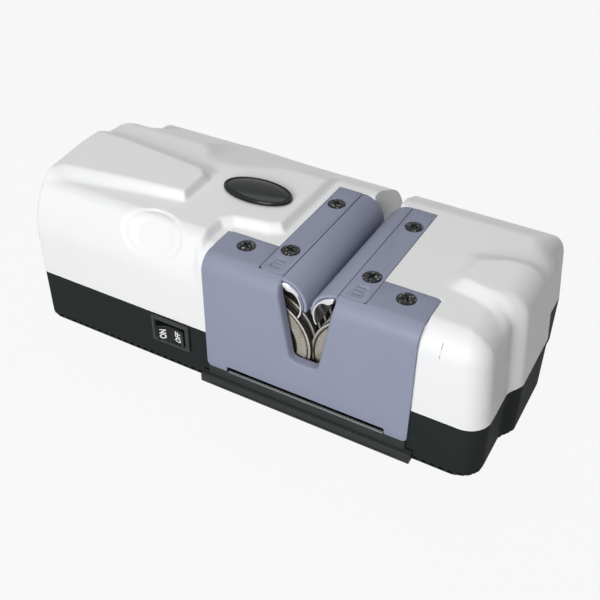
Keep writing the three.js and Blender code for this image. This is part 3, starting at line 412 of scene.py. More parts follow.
@dataclass(frozen=True)
class BlackenedSteel(Finish):
    """Blackened screws, worn bright in specks where the driver bites."""

    def material(self) -> bpy.types.Material:
        """Builds the material.

        Returns:
            The material.
        """
        g = Graph(self.name)
        place = g.place()
        specks = g.span(g.noise(place, 1100.0, 3.0), 0.6, 0.68)
        scale = g.noise(place, 3600.0)
        dark = g.mix(scale, (0.008, 0.009, 0.01), (0.03, 0.032, 0.033))
        return g.finish(Base_Color=g.mix(specks * 0.8, dark, (0.5, 0.5, 0.48)), Metallic=specks * 0.7,
                        Roughness=0.42 + scale * 0.16, Specular_IOR_Level=0.12,
                        Normal=g.bump(scale, 0.00004))


@dataclass(frozen=True)
class WoundCopper(Finish):
    """Enamelled wire laid in close turns round the coil's legs."""

    def material(self) -> bpy.types.Material:
        """Builds the material.

        Returns:
            The material.
        """
        g = Graph(self.name)
        turns = g.add("ShaderNodeTexWave", {"bands_direction": "Z"},
                      {"Vector": g.place(), "Scale": 320.0, "Distortion": 1.2, "Detail": 2.0,
                       "Detail Scale": 3.0}, 1)
        varnish = g.noise(g.place(), 200.0, 3.0)
        colour = g.mix(turns, (0.2, 0.05, 0.02), (0.55, 0.2, 0.07))
        return g.finish(Base_Color=g.mix(varnish * 0.3, colour, (0.12, 0.03, 0.02)), Metallic=0.6,
                        Roughness=0.3 + varnish * 0.15, Normal=g.bump(turns, 0.0002))


@dataclass(frozen=True)
class Rubber(Finish):
    """Matt rubber with a pale bloom and a coarse skin."""

    def material(self) -> bpy.types.Material:
        """Builds the material.

        Returns:
            The material.
        """
        g = Graph(self.name)
        place = g.place()
        skin = g.noise(place, 1400.0, 3.0)
        bloom = g.span(g.noise(place, 120.0, 4.0), 0.45, 0.8, 0.0, 0.35)
        return g.finish(Base_Color=g.mix(bloom, (0.017, 0.017, 0.018), (0.055, 0.055, 0.055)),
                        Roughness=0.78 + skin * 0.14, Normal=g.bump(skin, 0.0001))


@dataclass(frozen=True)
class PadPrint(Finish):
    """White pad-printed ink with thin places."""

    def material(self) -> bpy.types.Material:
        """Builds the material.

        Returns:
            The material.
        """
        g = Graph(self.name)
        ink = g.noise(g.place(), 2200.0, 3.0)
        return g.finish(Base_Color=g.mix(g.span(ink, 0.3, 0.5), (0.6, 0.6, 0.59), (0.86, 0.86, 0.85)),
                        Roughness=0.45 + ink * 0.15, Normal=g.bump(ink, 0.00002))


def make_coats() -> dict[str, Coat]:
    """Builds every finish once.

    Returns:
        The coats by their short names.
    """
    finishes = {
        "white": MouldedPlastic("moulded_white", "white_shell", (0.84, 0.845, 0.85), 0.36, 3000.0, 0.00002,
                                0.015, specular=0.28),
        "charcoal": MouldedPlastic("moulded_charcoal", "black_shell", (0.023, 0.0265, 0.026), 0.6, 2600.0,
                                   0.00006, 0.12, specular=0.02),
        "satin": MouldedPlastic("satin_black", "gloss_black", (0.043, 0.048, 0.047), 0.42, 2600.0, 0.00003,
                                0.1, specular=0.1),
        "tray": MouldedPlastic("tray_charcoal", "black_shell", (0.034, 0.038, 0.037), 0.5, 2600.0, 0.00006,
                               0.12, specular=0.08),
        # A light grey plastic painted on the tray panel's top edge as its highlight.
        "rubbed": MouldedPlastic("rubbed_edge", "black_shell", (0.3, 0.31, 0.32), 0.4, 900.0, 0.00003, 0.3),
        "paint": PaintedSheet("violet_grey_paint", "grey_plate", (0.272, 0.292, 0.386)),
        "leaf": BrushedMetal("bright_leaf", "bright_leaf", (0.78, 0.79, 0.81), 0.18, stain=0.1),
        "screw": BlackenedSteel("blackened_steel", "black_screw"),
        "gloss": MouldedPlastic("polished_black", "gloss_black", (0.009, 0.0115, 0.011), 0.2, 1800.0,
                                0.00001, 0.2, 0.08, 0.14),
        "steel": BrushedMetal("plain_steel", "plain_steel", (0.5, 0.5, 0.51)),
        "bronze": BrushedMetal("sintered_bronze", "bronze", (0.42, 0.25, 0.1), 0.4, (900.0, 900.0, 900.0)),
        "nylon": MouldedPlastic("natural_nylon", "nylon", (0.74, 0.71, 0.62), 0.5),
        "copper": WoundCopper("enamelled_copper", "copper"),
        "rubber": Rubber("black_rubber", "rubber"),
        "ink": PadPrint("white_print", "gloss_black"),
    }
    for side in Side:
        name = f"abrasive_{side.word}"
        centre = SLOT + side.value * ARBOR_REACH
        finishes[name] = AbrasiveDisc(name, "abrasive", centre * MM, ARBOR_HEIGHT * MM)
    return {key: Coat(finish.material(), finish.slot) for key, finish in finishes.items()}


# Meshes

def add_object(name: str, data: bpy.types.ID) -> bpy.types.Object:
    """Makes an object of that data and puts it in the scene.

    Args:
        name: The object's name.
        data: Its mesh, curve, lamp or camera.

    Returns:
        The object.
    """
    made = bpy.data.objects.new(name, data)
    bpy.context.scene.collection.objects.link(made)
    return made


def make_object(name: str, points: Array, faces: Iterable[Sequence[int]]) -> bpy.types.Object:
    """Makes a mesh object from points in millimetres.

    Args:
        name: The piece's name.
        points: The corners, one row each, in millimetres.
        faces: The corners of each face.

    Returns:
        The object, at the origin.
    """
    mesh = bpy.data.meshes.new(name)
    mesh.from_pydata((np.asarray(points, float) * MM).tolist(), [], [list(map(int, f)) for f in faces])
    mesh.validate()
    return add_object(name, mesh)


def edit(mesh: bpy.types.Mesh, change: Callable[[bmesh.types.BMesh], object]) -> None:
    """Opens a mesh, changes it and writes it back.

    Args:
        mesh: The mesh.
        change: Changes the opened mesh.
    """
    bm = bmesh.new()
    bm.from_mesh(mesh)
    change(bm)
    bm.to_mesh(mesh)
    bm.free()


def point_outwards(piece: bpy.types.Object, merge: float = 0.001) -> bpy.types.Object:
    """Merges doubles and turns every face outwards.

    Args:
        piece: The piece to mend.
        merge: How near doubles lie, in millimetres.

    Returns:
        The piece.
    """
    def change(bm: bmesh.types.BMesh) -> None:
        """Merges, then turns."""
        bmesh.ops.remove_doubles(bm, verts=bm.verts, dist=merge * MM)
        bmesh.ops.recalc_face_normals(bm, faces=bm.faces)

    edit(piece.data, change)
    return piece


def point_forwards(bm: bmesh.types.BMesh) -> None:
    """Turns an open sheet's faces so that on the whole they look to the front.

    Args:
        bm: The opened mesh.
    """
    bmesh.ops.recalc_face_normals(bm, faces=bm.faces)
    if sum(f.normal.y * f.calc_area() for f in bm.faces) > 0:
        bmesh.ops.reverse_faces(bm, faces=bm.faces)


def drop(piece: bpy.types.Object) -> None:
    """Removes a helper object."""
    bpy.data.objects.remove(piece, do_unlink=True)


def evaluated_mesh(piece: bpy.types.Object) -> bpy.types.Mesh:
    """The plain mesh that a piece shows."""
    bpy.context.view_layer.update()
    return bpy.data.meshes.new_from_object(piece.evaluated_get(bpy.context.evaluated_depsgraph_get()))


def settle(piece: bpy.types.Object) -> bpy.types.Object:
    """Turns the piece's modifiers into a plain mesh and clears them.

    Args:
        piece: The piece.

    Returns:
        The same piece.
    """
    mesh = evaluated_mesh(piece)
    piece.modifiers.clear()
    piece.data = mesh
    return piece


def prism(outline: Sequence[Point], axis: Axis, low: float, high: float, name: str = "prism",
          taper: float = 1.0) -> bpy.types.Object:
    """A prism of an outline.

    Args:
        outline: Corners in the two other directions, in the order of x, y and z.
        axis: The line it runs along.
        low: Where it starts on that line.
        high: Where it ends.
        name: The piece's name.
        taper: The outline's scale at the start.

    Returns:
        The closed prism.
    """
    count = len(outline)
    corners = np.array(outline, float)
    rings = [np.insert(corners * scale, axis.value, level, 1) for level, scale in ((low, taper), (high, 1.0))]
    sides = [(i, (i + 1) % count, count + (i + 1) % count, count + i) for i in range(count)]
    faces = sides + [tuple(range(count))[::-1], tuple(range(count, 2 * count))]
    return point_outwards(make_object(name, np.concatenate(rings), faces))


def slab(x0: float, x1: float, y0: float, y1: float, z0: float, z1: float,
         name: str = "slab") -> bpy.types.Object:
    """A block between six planes."""
    return prism([(x0, y0), (x1, y0), (x1, y1), (x0, y1)], Axis.Z, z0, z1, name)


def layer(z0: float, z1: float) -> bpy.types.Object:
    """A block between two heights, far wider than the body."""
    return slab(-200, 200, -100, 100, z0, z1)


def slot_slab(half: float, y0: float, y1: float, z0: float, z1: float,
              name: str = "slab") -> bpy.types.Object:
    """A block centred on the blade slot, with half its width given."""
    return slab(SLOT - half, SLOT + half, y0, y1, z0, z1, name)


def turned(profile: Sequence[Point], axis: Axis, centre: Place, segments: int = 64,
           name: str = "turned", stretch: Point = (1.0, 1.0)) -> bpy.types.Object:
    """A turned piece.

    Args:
        profile: (radius, height) corners, open at the axis or a closed ring.
        axis: The line it is turned about.
        centre: Where height 0 lies.
        segments: Facets round the turn.
        name: The piece's name.
        stretch: Scale of the two cross directions.

    Returns:
        The closed piece.
    """
    angles = np.linspace(0, 2 * math.pi, segments, endpoint=False)
    radii = np.array([r for r, _ in profile])
    heights = np.array([h for _, h in profile])
    a = np.outer(np.cos(angles), radii) * stretch[0]
    b = np.outer(np.sin(angles), radii) * stretch[1]
    h = np.tile(heights, (segments, 1))
    points = np.stack((a, b, h) if axis is Axis.Z else (a, h, b), -1).reshape(-1, 3) + np.array(centre)
    rows = len(profile)
    closed = radii[0] > 1e-6 or radii[-1] > 1e-6
    faces = []
    for i in range(segments):
        j = (i + 1) % segments
        for k in range(rows if closed else rows - 1):
            n = (k + 1) % rows
            faces.append((i * rows + k, j * rows + k, j * rows + n, i * rows + n))
    return point_outwards(make_object(name, points, faces))


def rod(radius: float, low: float, high: float, axis: Axis, centre: Place,
        segments: int = 32) -> bpy.types.Object:
    """A round bar from low to high of its centre."""
    return turned([(0, low), (radius, low), (radius, high), (0, high)], axis, centre, segments)


def carve(piece: bpy.types.Object, cutters: Iterable[bpy.types.Object],
          operation: str = "DIFFERENCE") -> bpy.types.Object:
    """Cuts the cutters out of a piece, or joins or meets them with it, and removes them.

    Args:
        piece: The piece to work on.
        cutters: The helper objects.
        operation: The Boolean operation.

    Returns:
        The piece as a plain mesh.
    """
    tools = list(cutters)
    for tool in tools:
        step = piece.modifiers.new("cut", "BOOLEAN")
        step.object = tool
        step.operation = operation
        step.solver = "MANIFOLD"
    settle(piece)
    for tool in tools:
        drop(tool)
    return piece


def ease_edges(piece: bpy.types.Object, width: float, steps: int = 2,
               angle: float = 35.0) -> bpy.types.Object:
    """Rounds the sharp edges.

    Args:
        piece: The piece.
        width: The rounding's width, in millimetres.
        steps: Its facets.
        angle: The least edge angle that is rounded, in degrees.

    Returns:
        The piece as a plain mesh.
    """
    step = piece.modifiers.new("ease", "BEVEL")
    step.width = width * MM
    step.segments = steps
    step.limit_method = "ANGLE"
    step.angle_limit = math.radians(angle)
    step.harden_normals = False
    return settle(piece)


def thicken(piece: bpy.types.Object, thickness: float) -> bpy.types.Object:
    """Gives a sheet its thickness, in millimetres, behind its faces.

    Args:
        piece: The open sheet.
        thickness: How thick it becomes.

    Returns:
        The closed piece as a plain mesh.
    """
    step = piece.modifiers.new("sheet", "SOLIDIFY")
    step.thickness = thickness * MM
    step.offset = -1
    return settle(piece)


def smooth(piece: bpy.types.Object, angle: float = 35.0) -> bpy.types.Object:
    """Shades a piece smooth, with edges sharper than the angle kept.

    Args:
        piece: The piece.
        angle: The angle in degrees.

    Returns:
        The piece.
    """
    piece.data.shade_smooth()
    piece.data.set_sharp_from_angle(angle=math.radians(angle))
    return piece


def arc(cx: float, cy: float, radius: float, start: float, end: float, steps: int) -> list[Point]:
    """Points on an arc, with angles in degrees."""
    return [(cx + radius * math.cos(math.radians(t)), cy + radius * math.sin(math.radians(t)))
            for t in np.linspace(start, end, steps + 1)]


# Repeats

@dataclass(frozen=True)
class Repeat:
    """A node tree that sets one piece at a row of places and returns plain geometry."""

    name: str
    seed: int = 7

    def tree(self) -> tuple[bpy.types.NodeTree, dict[str, str]]:
        """Builds the tree.

        Returns:
            The tree, and the identifier of each named input.
        """
        tree = bpy.data.node_groups.new(self.name, "GeometryNodeTree")
        face = tree.interface
        face.new_socket("Places", in_out="INPUT", socket_type="NodeSocketGeometry")
        kinds = {"Piece": "Object", "Turn": "Float", "Seed": "Int", "Finish": "Material"}
        sockets = {label: face.new_socket(label, in_out="INPUT", socket_type="NodeSocket" + kind)
                   for label, kind in kinds.items()}
        face.new_socket("Row", in_out="OUTPUT", socket_type="NodeSocketGeometry")
        add, link = tree.nodes.new, tree.links.new
        start, end = add("NodeGroupInput"), add("NodeGroupOutput")
        info = add("GeometryNodeObjectInfo")
        link(start.outputs["Piece"], info.inputs["Object"])
        chance = add("FunctionNodeRandomValue")
        chance.data_type = "FLOAT"
        link(start.outputs["Seed"], chance.inputs["Seed"])
        amount = add("ShaderNodeMath")
        amount.operation = "MULTIPLY"
        link(chance.outputs[1], amount.inputs[0])
        link(start.outputs["Turn"], amount.inputs[1])
        about = add("ShaderNodeCombineXYZ")
        link(amount.outputs[0], about.inputs["Z"])
        put = add("GeometryNodeInstanceOnPoints")
        link(start.outputs["Places"], put.inputs["Points"])
        link(info.outputs["Geometry"], put.inputs["Instance"])
        link(about.outputs[0], put.inputs["Rotation"])
        real, dress = add("GeometryNodeRealizeInstances"), add("GeometryNodeSetMaterial")
        link(put.outputs[0], real.inputs[0])
        link(real.outputs[0], dress.inputs["Geometry"])
        link(start.outputs["Finish"], dress.inputs["Material"])
        link(dress.outputs[0], end.inputs[0])
        return tree, {label: socket.identifier for label, socket in sockets.items()}

    def row(self, piece: bpy.types.Object, places: Sequence[Place], coat: Coat | None = None,
            turn: float = 0.0) -> bpy.types.Object:
        """Sets a piece at every place.

        Args:
            piece: The piece, made round the origin; it is removed.
            places: Where each copy goes, in millimetres.
            coat: Its finish.
            turn: The most that a copy is turned about Z, in radians.

        Returns:
            One plain mesh object.
        """
        row = make_object(self.name, np.array(places), [])
        tree, inputs = self.tree()
        step = row.modifiers.new("repeat", "NODES")
        step.node_group = tree
        step[inputs["Piece"]] = piece
        step[inputs["Turn"]] = turn
        step[inputs["Seed"]] = self.seed
        step[inputs["Finish"]] = coat.material if coat else None
        settle(row)
        drop(piece)
        return row


# Forms given by a distance field

def round_join(a: Array, b: Array, radius: Array | float) -> Array:
    """The common part of two half-spaces, with a rounded edge."""
    u, v = a + radius, b + radius
    return np.minimum(np.maximum(u, v), 0) + np.hypot(np.maximum(u, 0), np.maximum(v, 0)) - radius


def greatest(*values: Array) -> Array:
    """The greatest of several values."""
    return reduce(np.maximum, values)


def soft_min(a: Array, b: Array | float, reach: float) -> Array:
    """The lesser of two values with a soft change."""
    h = np.maximum(reach - np.abs(a - b), 0) / reach
    return np.minimum(a, b) - h * h * reach / 4


def soft_max(a: Array, b: Array | float, reach: float) -> Array:
    """The greater of two values with a soft change."""
    return -soft_min(-a, -b, reach)


def ease(value: Array, low: float, high: float) -> Array:
    """A smooth step from 0 at low to 1 at high."""
    t = np.clip((value - low) / (high - low), 0, 1)
    return t * t * (3 - 2 * t)


def above_plane(y: Array, z: Array, through: Point, angle: Array | float) -> Array:
    """Height above a plane through (y, z) that falls towards the back by an angle in degrees."""
    return (y - through[0]) * np.sin(np.radians(angle)) + (z - through[1]) * np.cos(np.radians(angle))


def outline_distance(x: Array, y: Array, points: Sequence[Point]) -> Array:
    """Distance to a closed outline, negative inside it.

    Args:
        x: Across.
        y: Along.
        points: The outline's corners.

    Returns:
        The distances.
    """
    nearest = np.full(np.broadcast(x, y).shape, np.inf)
    inside = np.zeros(nearest.shape, bool)
    for (ax, ay), (bx, by) in zip(points, [*points[1:], points[0]]):
        ex, ey = bx - ax, by - ay
        t = np.clip(((x - ax) * ex + (y - ay) * ey) / (ex * ex + ey * ey), 0, 1)
        nearest = np.minimum(nearest, np.hypot(x - ax - ex * t, y - ay - ey * t))
        if ey:
            inside ^= ((ay > y) != (by > y)) & (x < ex * (y - ay) / ey + ax)
    return np.where(inside, -nearest, nearest)


def surface_net(values: Array, low: Array, step: float) -> tuple[Array, Array]:
    """Quads round the zero of a sampled field.

    Args:
        values: The field on a grid, negative inside.
        low: The grid's first corner.
        step: The grid's spacing.

    Returns:
        Points and quads.
    """
    shape = np.array(values.shape)
    total = np.zeros((*(shape + 1), 3))
    count = np.zeros(tuple(shape + 1))
    quads = []
    for axis in range(3):
        head = [slice(None)] * 3
        tail = [slice(None)] * 3
        head[axis], tail[axis] = slice(0, -1), slice(1, None)
        a, b = values[tuple(head)], values[tuple(tail)]
        crossing = (a < 0) != (b < 0)
        index = np.argwhere(crossing)
        points = index.astype(float)
        points[:, axis] += a[crossing] / (a[crossing] - b[crossing])
        u, v = (axis + 1) % 3, (axis + 2) % 3
        ring = []
        for du, dv in ((1, 1), (0, 1), (0, 0), (1, 0)):
            cell = index.copy()
            cell[:, u] += du
            cell[:, v] += dv
            cell[:, axis] += 1
            key = tuple(cell.T)
            np.add.at(total, key, points)
            np.add.at(count, key, 1)
            ring.append(np.ravel_multi_index(key, count.shape))
        ring = np.stack(ring, 1)
        flip = ~(a[crossing] < 0)
        ring[flip] = ring[flip][:, ::-1]
        quads.append(ring)
    used, faces = np.unique(np.concatenate(quads), return_inverse=True)
    points = total.reshape(-1, 3)[used] / count.reshape(-1)[used][:, None]
    return low + points * step, faces.reshape(-1, 4)


@dataclass
class HeightMap:
    """Heights on a fine plan grid, softened once and read back as a smooth spline surface."""

    low: Point = (-132.0, -64.0)
    high: Point = (132.0, 66.0)
    step: float = 0.6
    soften: float = 0.45
    heights: Array = None

    def fill(self, rule: Callable[[Array, Array], Array]) -> HeightMap:
        """Samples a rule on the grid and softens it.

        Args:
            rule: Gives the height at x and y.

        Returns:
            The map itself.
        """
        xs, ys = (np.arange(a, b + self.step, self.step) for a, b in zip(self.low, self.high))
        values = rule(xs[:, None], ys[None, :])
        reach = math.ceil(3 * self.soften / self.step)
        bell = np.exp(-0.5 * (np.arange(-reach, reach + 1) * self.step / self.soften) ** 2)
        bell /= bell.sum()
        for axis in (0, 1):
            values = np.apply_along_axis(
                lambda row: np.convolve(np.pad(row, reach, "edge"), bell, "valid"), axis, values)
        self.heights = values
        return self

    def weights(self, value: Array, low: float, count: int) -> tuple[Array, list[Array]]:
        """Spline weights at places on one axis.

        Args:
            value: The places.
            low: Where the grid starts.
            count: How many lines it has.

        Returns:
            The first grid line at each place, and the weights of four lines.
        """
        place = np.clip((value - low) / self.step, 1, count - 3.001)
        first = np.floor(place).astype(int)
        t = place - first
        return first - 1, [(1 - t) ** 3 / 6, (3 * t ** 3 - 6 * t ** 2 + 4) / 6,
                           (-3 * t ** 3 + 3 * t ** 2 + 3 * t + 1) / 6, t ** 3 / 6]

    def read(self, x: Array, y: Array) -> Array:
        """The height at places.

        Args:
            x: Across the body.
            y: Along its depth.

        Returns:
            The heights.
        """
        i, across = self.weights(x, self.low[0], self.heights.shape[0])
        j, along = self.weights(y, self.low[1], self.heights.shape[1])
        return sum(across[a] * along[b] * self.heights[i + a, j + b] for a in range(4) for b in range(4))


@dataclass(frozen=True)
class Swell:
    """How far an end bulges, and where along the depth it rises and falls."""

    reach: float
    rise: Point
    fall: Point

    def half(self, y: Array) -> Array:
        """Half the body's length at a depth."""
        share = ease(y - FRONT, *self.rise) * (1 - ease(y - FRONT, *self.fall))
        return HALF_LENGTH - self.reach * (1 - share)


@dataclass
class Form:
    """A moulded form given by a field, drawn as quads that lie on it."""

    spacing: float = 1.05
    left: Swell = Swell(4.0, (10, 50), (74, 88))
    right: Swell = Swell(4.5, (29, 40), (74, 92))
    front_left_radius: float = 2.4
    front_right_radius: float = 11.0
    back_radius: float = 5.0

    def field(self, x: Array, y: Array, z: Array) -> Array:
        """Distance from the form's skin, negative inside."""
        raise NotImplementedError

    def slope(self, points: Array, reach: float = 0.05) -> Array:
        """The field's gradient.

        Args:
            points: The places, one row each.
            reach: How far off the field is read.

        Returns:
            One gradient for each place.
        """
        parts = []
        for axis in range(3):
            shift = np.zeros(3)
            shift[axis] = reach
            ahead, behind = points + shift, points - shift
            parts.append(self.field(*ahead.T) - self.field(*behind.T))
        return np.stack(parts, 1) / (2 * reach)

    def draw(self, name: str, low: Place, high: Place) -> bpy.types.Object:
        """Draws the form between two corners.

        Args:
            name: The piece's name.
            low: The lowest corner, in millimetres.
            high: The highest corner.

        Returns:
            The closed skin.
        """
        axes = [np.arange(a, b + self.spacing, self.spacing) for a, b in zip(low, high)]
        values = self.field(*np.ix_(*axes))
        values = np.pad(values[1:-1, 1:-1, 1:-1], 1, constant_values=self.spacing)
        points, faces = surface_net(values, np.array(low, float), self.spacing)
        for _ in range(3):
            value = self.field(*points.T)
            direction = self.slope(points)
            steep = np.maximum((direction ** 2).sum(1), 0.05)
            move = np.where(np.abs(value) < self.spacing, value / steep, 0.0)
            points = points - direction * np.clip(move, -0.6, 0.6)[:, None]
        return make_object(name, points, faces)

    def dress_normals(self, piece: bpy.types.Object) -> bpy.types.Object:
        """Shades the skin by the field itself, and every cut face flat.

        Args:
            piece: The skin, carved.

        Returns:
            The same piece.
        """
        mesh = piece.data
        mesh.shade_smooth()
        points = np.zeros(len(mesh.vertices) * 3)
        mesh.vertices.foreach_get("co", points)
        points = points.reshape(-1, 3) / MM
        direction = self.slope(points)
        direction /= np.linalg.norm(direction, axis=1)[:, None] + 1e-12
        near = np.abs(self.field(*points.T)) < 0.06
        corner = np.zeros(len(mesh.loops), int)
        mesh.loops.foreach_get("vertex_index", corner)
        flat = np.zeros(len(mesh.polygons) * 3)
        mesh.polygons.foreach_get("normal", flat)
        sizes = np.zeros(len(mesh.polygons), int)
        mesh.polygons.foreach_get("loop_total", sizes)
        flat = np.repeat(flat.reshape(-1, 3), sizes, axis=0)
        along = direction[corner]
        skin = near[corner] & ((along * flat).sum(1) > 0.72)
        mesh.normals_split_custom_set(np.where(skin[:, None], along, flat).tolist())
        return piece

    def walls(self, x: Array, y: Array, left: Array = 0.0, right: Array = 0.0) -> tuple[Array, ...]:
        """Distances from the front, back, left and right walls, the ends set in by left and right."""
        return FRONT - y, y - BACK, -x - self.left.half(y) + left, x - self.right.half(y) + right

    def upright(self, front: Array, back: Array, left: Array, right: Array) -> Array:
        """The four walls, joined by rounded upright corners.

        Args:
            front: Distances from the front.
            back: Distances from the back.
            left: Distances from the left end.
            right: Distances from the right end.

        Returns:
            The distances from all four.
        """
        return greatest(round_join(front, left, self.front_left_radius),
                        round_join(front, right, self.front_right_radius),
                        round_join(back, left, self.back_radius), round_join(back, right, self.back_radius))


@dataclass
class HousingForm(Form):
    """The white cover's outer skin. Outlines are shares of the body beside the slot, and of its depth."""

    pad_edge: tuple[Point, ...] = ((-260, -90), (-21.7, -90), (-21.7, -32.5), (-18.0, -28.8), (-1.3, -26.0),
                                   (4.7, -22.3), (4.7, 90), (-260, 90))
    platform_top: tuple[Point, ...] = (
        (1.15, 0.1), (0.964, 0.128), (0.936, 0.184), (0.672, 0.239), (0.521, 0.26), (0.527, 0.423),
        (0.56, 0.456), (0.67, 0.475), (0.873, 0.506), (1.15, 0.51))
    platform_foot: tuple[Point, ...] = (
        (1.15, 0.04), (0.96, 0.078), (0.874, 0.133), (0.655, 0.199), (0.508, 0.237), (0.513, 0.5),
        (0.53, 0.53), (0.67, 0.56), (0.873, 0.59), (1.15, 0.605))
    band_foot: tuple[Point, ...] = (
        (0.49, 0.33), (0.54, 0.283), (0.715, 0.261), (0.844, 0.22), (0.908, 0.175), (0.944, 0.132),
        (1.2, 0.02), (1.2, 0.645), (0.912, 0.6), (0.753, 0.575), (0.5, 0.525))
    band_top: tuple[Point, ...] = (
        (0.6, 0.37), (0.62, 0.333), (0.743, 0.311), (0.868, 0.302), (0.92, 0.28), (0.963, 0.259),
        (1.2, 0.15), (1.2, 0.57), (0.912, 0.54), (0.753, 0.52), (0.64, 0.47))
    platform_rise: float = 5.2
    band_rise: float = 3.0
    left_draft: float = 0.4
    right_draft: float = 4.2
    back_draft: float = 1.5
    back_slope: float = 25.0
    slope_foot: Point = (51.16, 68.16)
    valley_slope: float = 35.0
    valley_rim: Point = (25.1, PAD_TOP)
    valley_floor: float = 66.9
    facet: Point = (-50.4, 74.3)
    facet_edge: float = 3.0
    left_front_edge: float = 9.0
    right_front_edge: float = 12.0
    right_edge: float = 12.0
    back_edge: float = 1.3
    raised: Point = (-26.0, -20.0)
    pad_run: float = 2.4
    platform_foot_rise: float = 3.0
    band_fade: Point = (82.0, 92.0)
    band_side: float = 20.0
    dish_tilt: float = 48.0
    dish_edge: float = 18.0
    dish_x: float = -50.0
    dish_half: Point = (17.6, 12.4)
    ball_radius: float = 11.4
    top_map: HeightMap = field(init=False)

    def __post_init__(self) -> None:
        """Fills the map of the top's relief."""
        self.top_map = HeightMap().fill(self.raw_relief)

    @staticmethod
    def places(shares: Sequence[Point], side: Side) -> list[Point]:
        """Turns shares of the body on one side of the slot into places on it."""
        reach = HALF_LENGTH - side.value * SLOT
        return [(SLOT + side.value * u * reach, FRONT + v * DEPTH) for u, v in shares]

    def ramp(self, x: Array, y: Array, foot: Sequence[Point], top: Sequence[Point], side: Side,
             soft: float) -> Array:
        """0 at a foot outline to 1 at a top outline, below 0 outside and held at 1 inside.

        Args:
            x: Across the body.
            y: Along its depth.
            foot: The foot's outline, in shares.
            top: The top's outline.
            side: The side of the slot.
            soft: How softly the ramp ends.

        Returns:
            The ramp's share at each place.
        """
        inside = -outline_distance(x, y, self.places(foot, side))
        outside = outline_distance(x, y, self.places(top, side))
        share = inside / np.maximum(inside + outside, 0.8)
        return soft_min(np.where(outside < 0, 1 - outside / 3.0, share), 1.0, soft)

    def raw_relief(self, x: Array, y: Array) -> Array:
        """How high the top stands above the sheets' plane, with sharp creases.

        Args:
            x: Across the body.
            y: Along its depth.

        Returns:
            The heights: pad and platform on the left, the raised band on the right.
        """
        edge = outline_distance(x, y, self.pad_edge)
        pad = (PAD_TOP - PLANE) * soft_max(soft_min(-edge / self.pad_run, 1.0, 0.4), 0.0, 0.4)
        up = self.ramp(x, y, self.platform_foot, self.platform_top, Side.LEFT, 0.2)
        platform = self.platform_foot_rise + self.platform_rise * np.maximum(up, -3.0)
        band = self.ramp(x, y, self.band_foot, self.band_top, Side.RIGHT, 0.12)
        band = self.band_rise * soft_max(band, 0.0, 0.12) * ease(x, *self.band_fade)
        return np.where(x < self.band_side, soft_max(pad, platform, 1.4), band)

    def back_skin(self, x: Array, y: Array, z: Array) -> Array:
        """The drafted back wall, and the slope above it with a scoop and a valley behind the platform.

        Args:
            x: Across the body.
            y: Along its depth.
            z: Up.

        Returns:
            The distances from it.
        """
        wall = y - BACK + self.back_draft * np.clip((z - SEAM) / 27.0, 0, 1)
        scoop = ease(x, -72.0, -58.0) * (1 - ease(x, -46.0, -14.0))
        slope = above_plane(y, z, self.slope_foot, self.back_slope - 6.5 * scoop)
        steep = above_plane(y, z, self.valley_rim, self.valley_slope)
        valley = soft_min(steep, z - self.valley_floor, 1.5) - 6.0 * ease(x, -107.0, -99.0)
        return round_join(wall, soft_max(slope, valley, 0.8), 9.0 - 6.0 * ease(-x, 0.0, 80.0))

    def dish(self, x: Array, y: Array, z: Array) -> Array:
        """Depth of the thumb dish below the skin.

        Args:
            x: Across the body.
            y: Along its depth.
            z: Up.

        Returns:
            The depths.
        """
        sine, cosine = math.sin(math.radians(self.dish_tilt)), math.cos(math.radians(self.dish_tilt))
        u = (x - self.dish_x) / self.dish_half[0]
        ahead, above = y - FRONT - self.dish_edge * (1 - sine), z - PAD_TOP + self.dish_edge * (1 - cosine)
        v = (ahead * cosine + above * sine) / self.dish_half[1]
        out = np.sqrt(u * u + v * v)
        return (0.95 * (1 - ease(out, 0.86, 1.0)) + 1.25 * (1 - ease(out, 0.45, 0.8))) * ease(z, 55.0, 62.0)

    def ball(self, *walls: Array) -> Array:
        """The ball that rounds a corner of three walls, and a far value elsewhere.

        Args:
            walls: The distances from the three walls.

        Returns:
            The distances from the ball.
        """
        u, v, w = (wall + self.ball_radius for wall in walls)
        reach = np.sqrt(np.maximum(u, 0) ** 2 + np.maximum(v, 0) ** 2 + np.maximum(w, 0) ** 2)
        return np.where((u > 0) & (v > 0) & (w > 0), reach - self.ball_radius, -1e3)

    def field(self, x: Array, y: Array, z: Array) -> Array:
        """Distance from the cover's skin, negative inside.

        Args:
            x: Across the body.
            y: Along its depth.
            z: Up.

        Returns:
            The distances.
        """
        rise = (z - SEAM) / (PLANE - SEAM)
        front, _, left, right = self.walls(x, y, self.left_draft * rise, self.right_draft * rise)
        back = self.back_skin(x, y, z)
        top = z - PLANE - self.top_map.read(x, y)
        facet = above_plane(y, z, self.facet, -self.dish_tilt)
        high = round_join(round_join(top, facet, self.facet_edge), front, self.left_front_edge)
        low = round_join(front, top, self.right_front_edge)
        body = low + (high - low) * (1 - ease(x, *self.raised))
        whole = greatest(self.upright(front, back, left, right), body,
                         round_join(left, body, self.front_left_radius),
                         round_join(back, top, self.back_edge), round_join(right, top, self.right_edge),
                         self.ball(front, right, top))
        return whole + self.dish(x, y, z)


@dataclass
class HollowForm(HousingForm):
    """The cover's form set in by a wall's thickness, with a flat roof under the recessed sheets."""

    spacing: float = 2.6
    inset: float = WALL
    roof: float = 72.0
    roof_from: float = -30.0

    def field(self, x: Array, y: Array, z: Array) -> Array:
        """Distance from the hollow's skin, negative inside."""
        roof = np.where(x > self.roof_from, z - self.roof, -1e3)
        return np.maximum(super().field(x, y, z) + self.inset, roof)


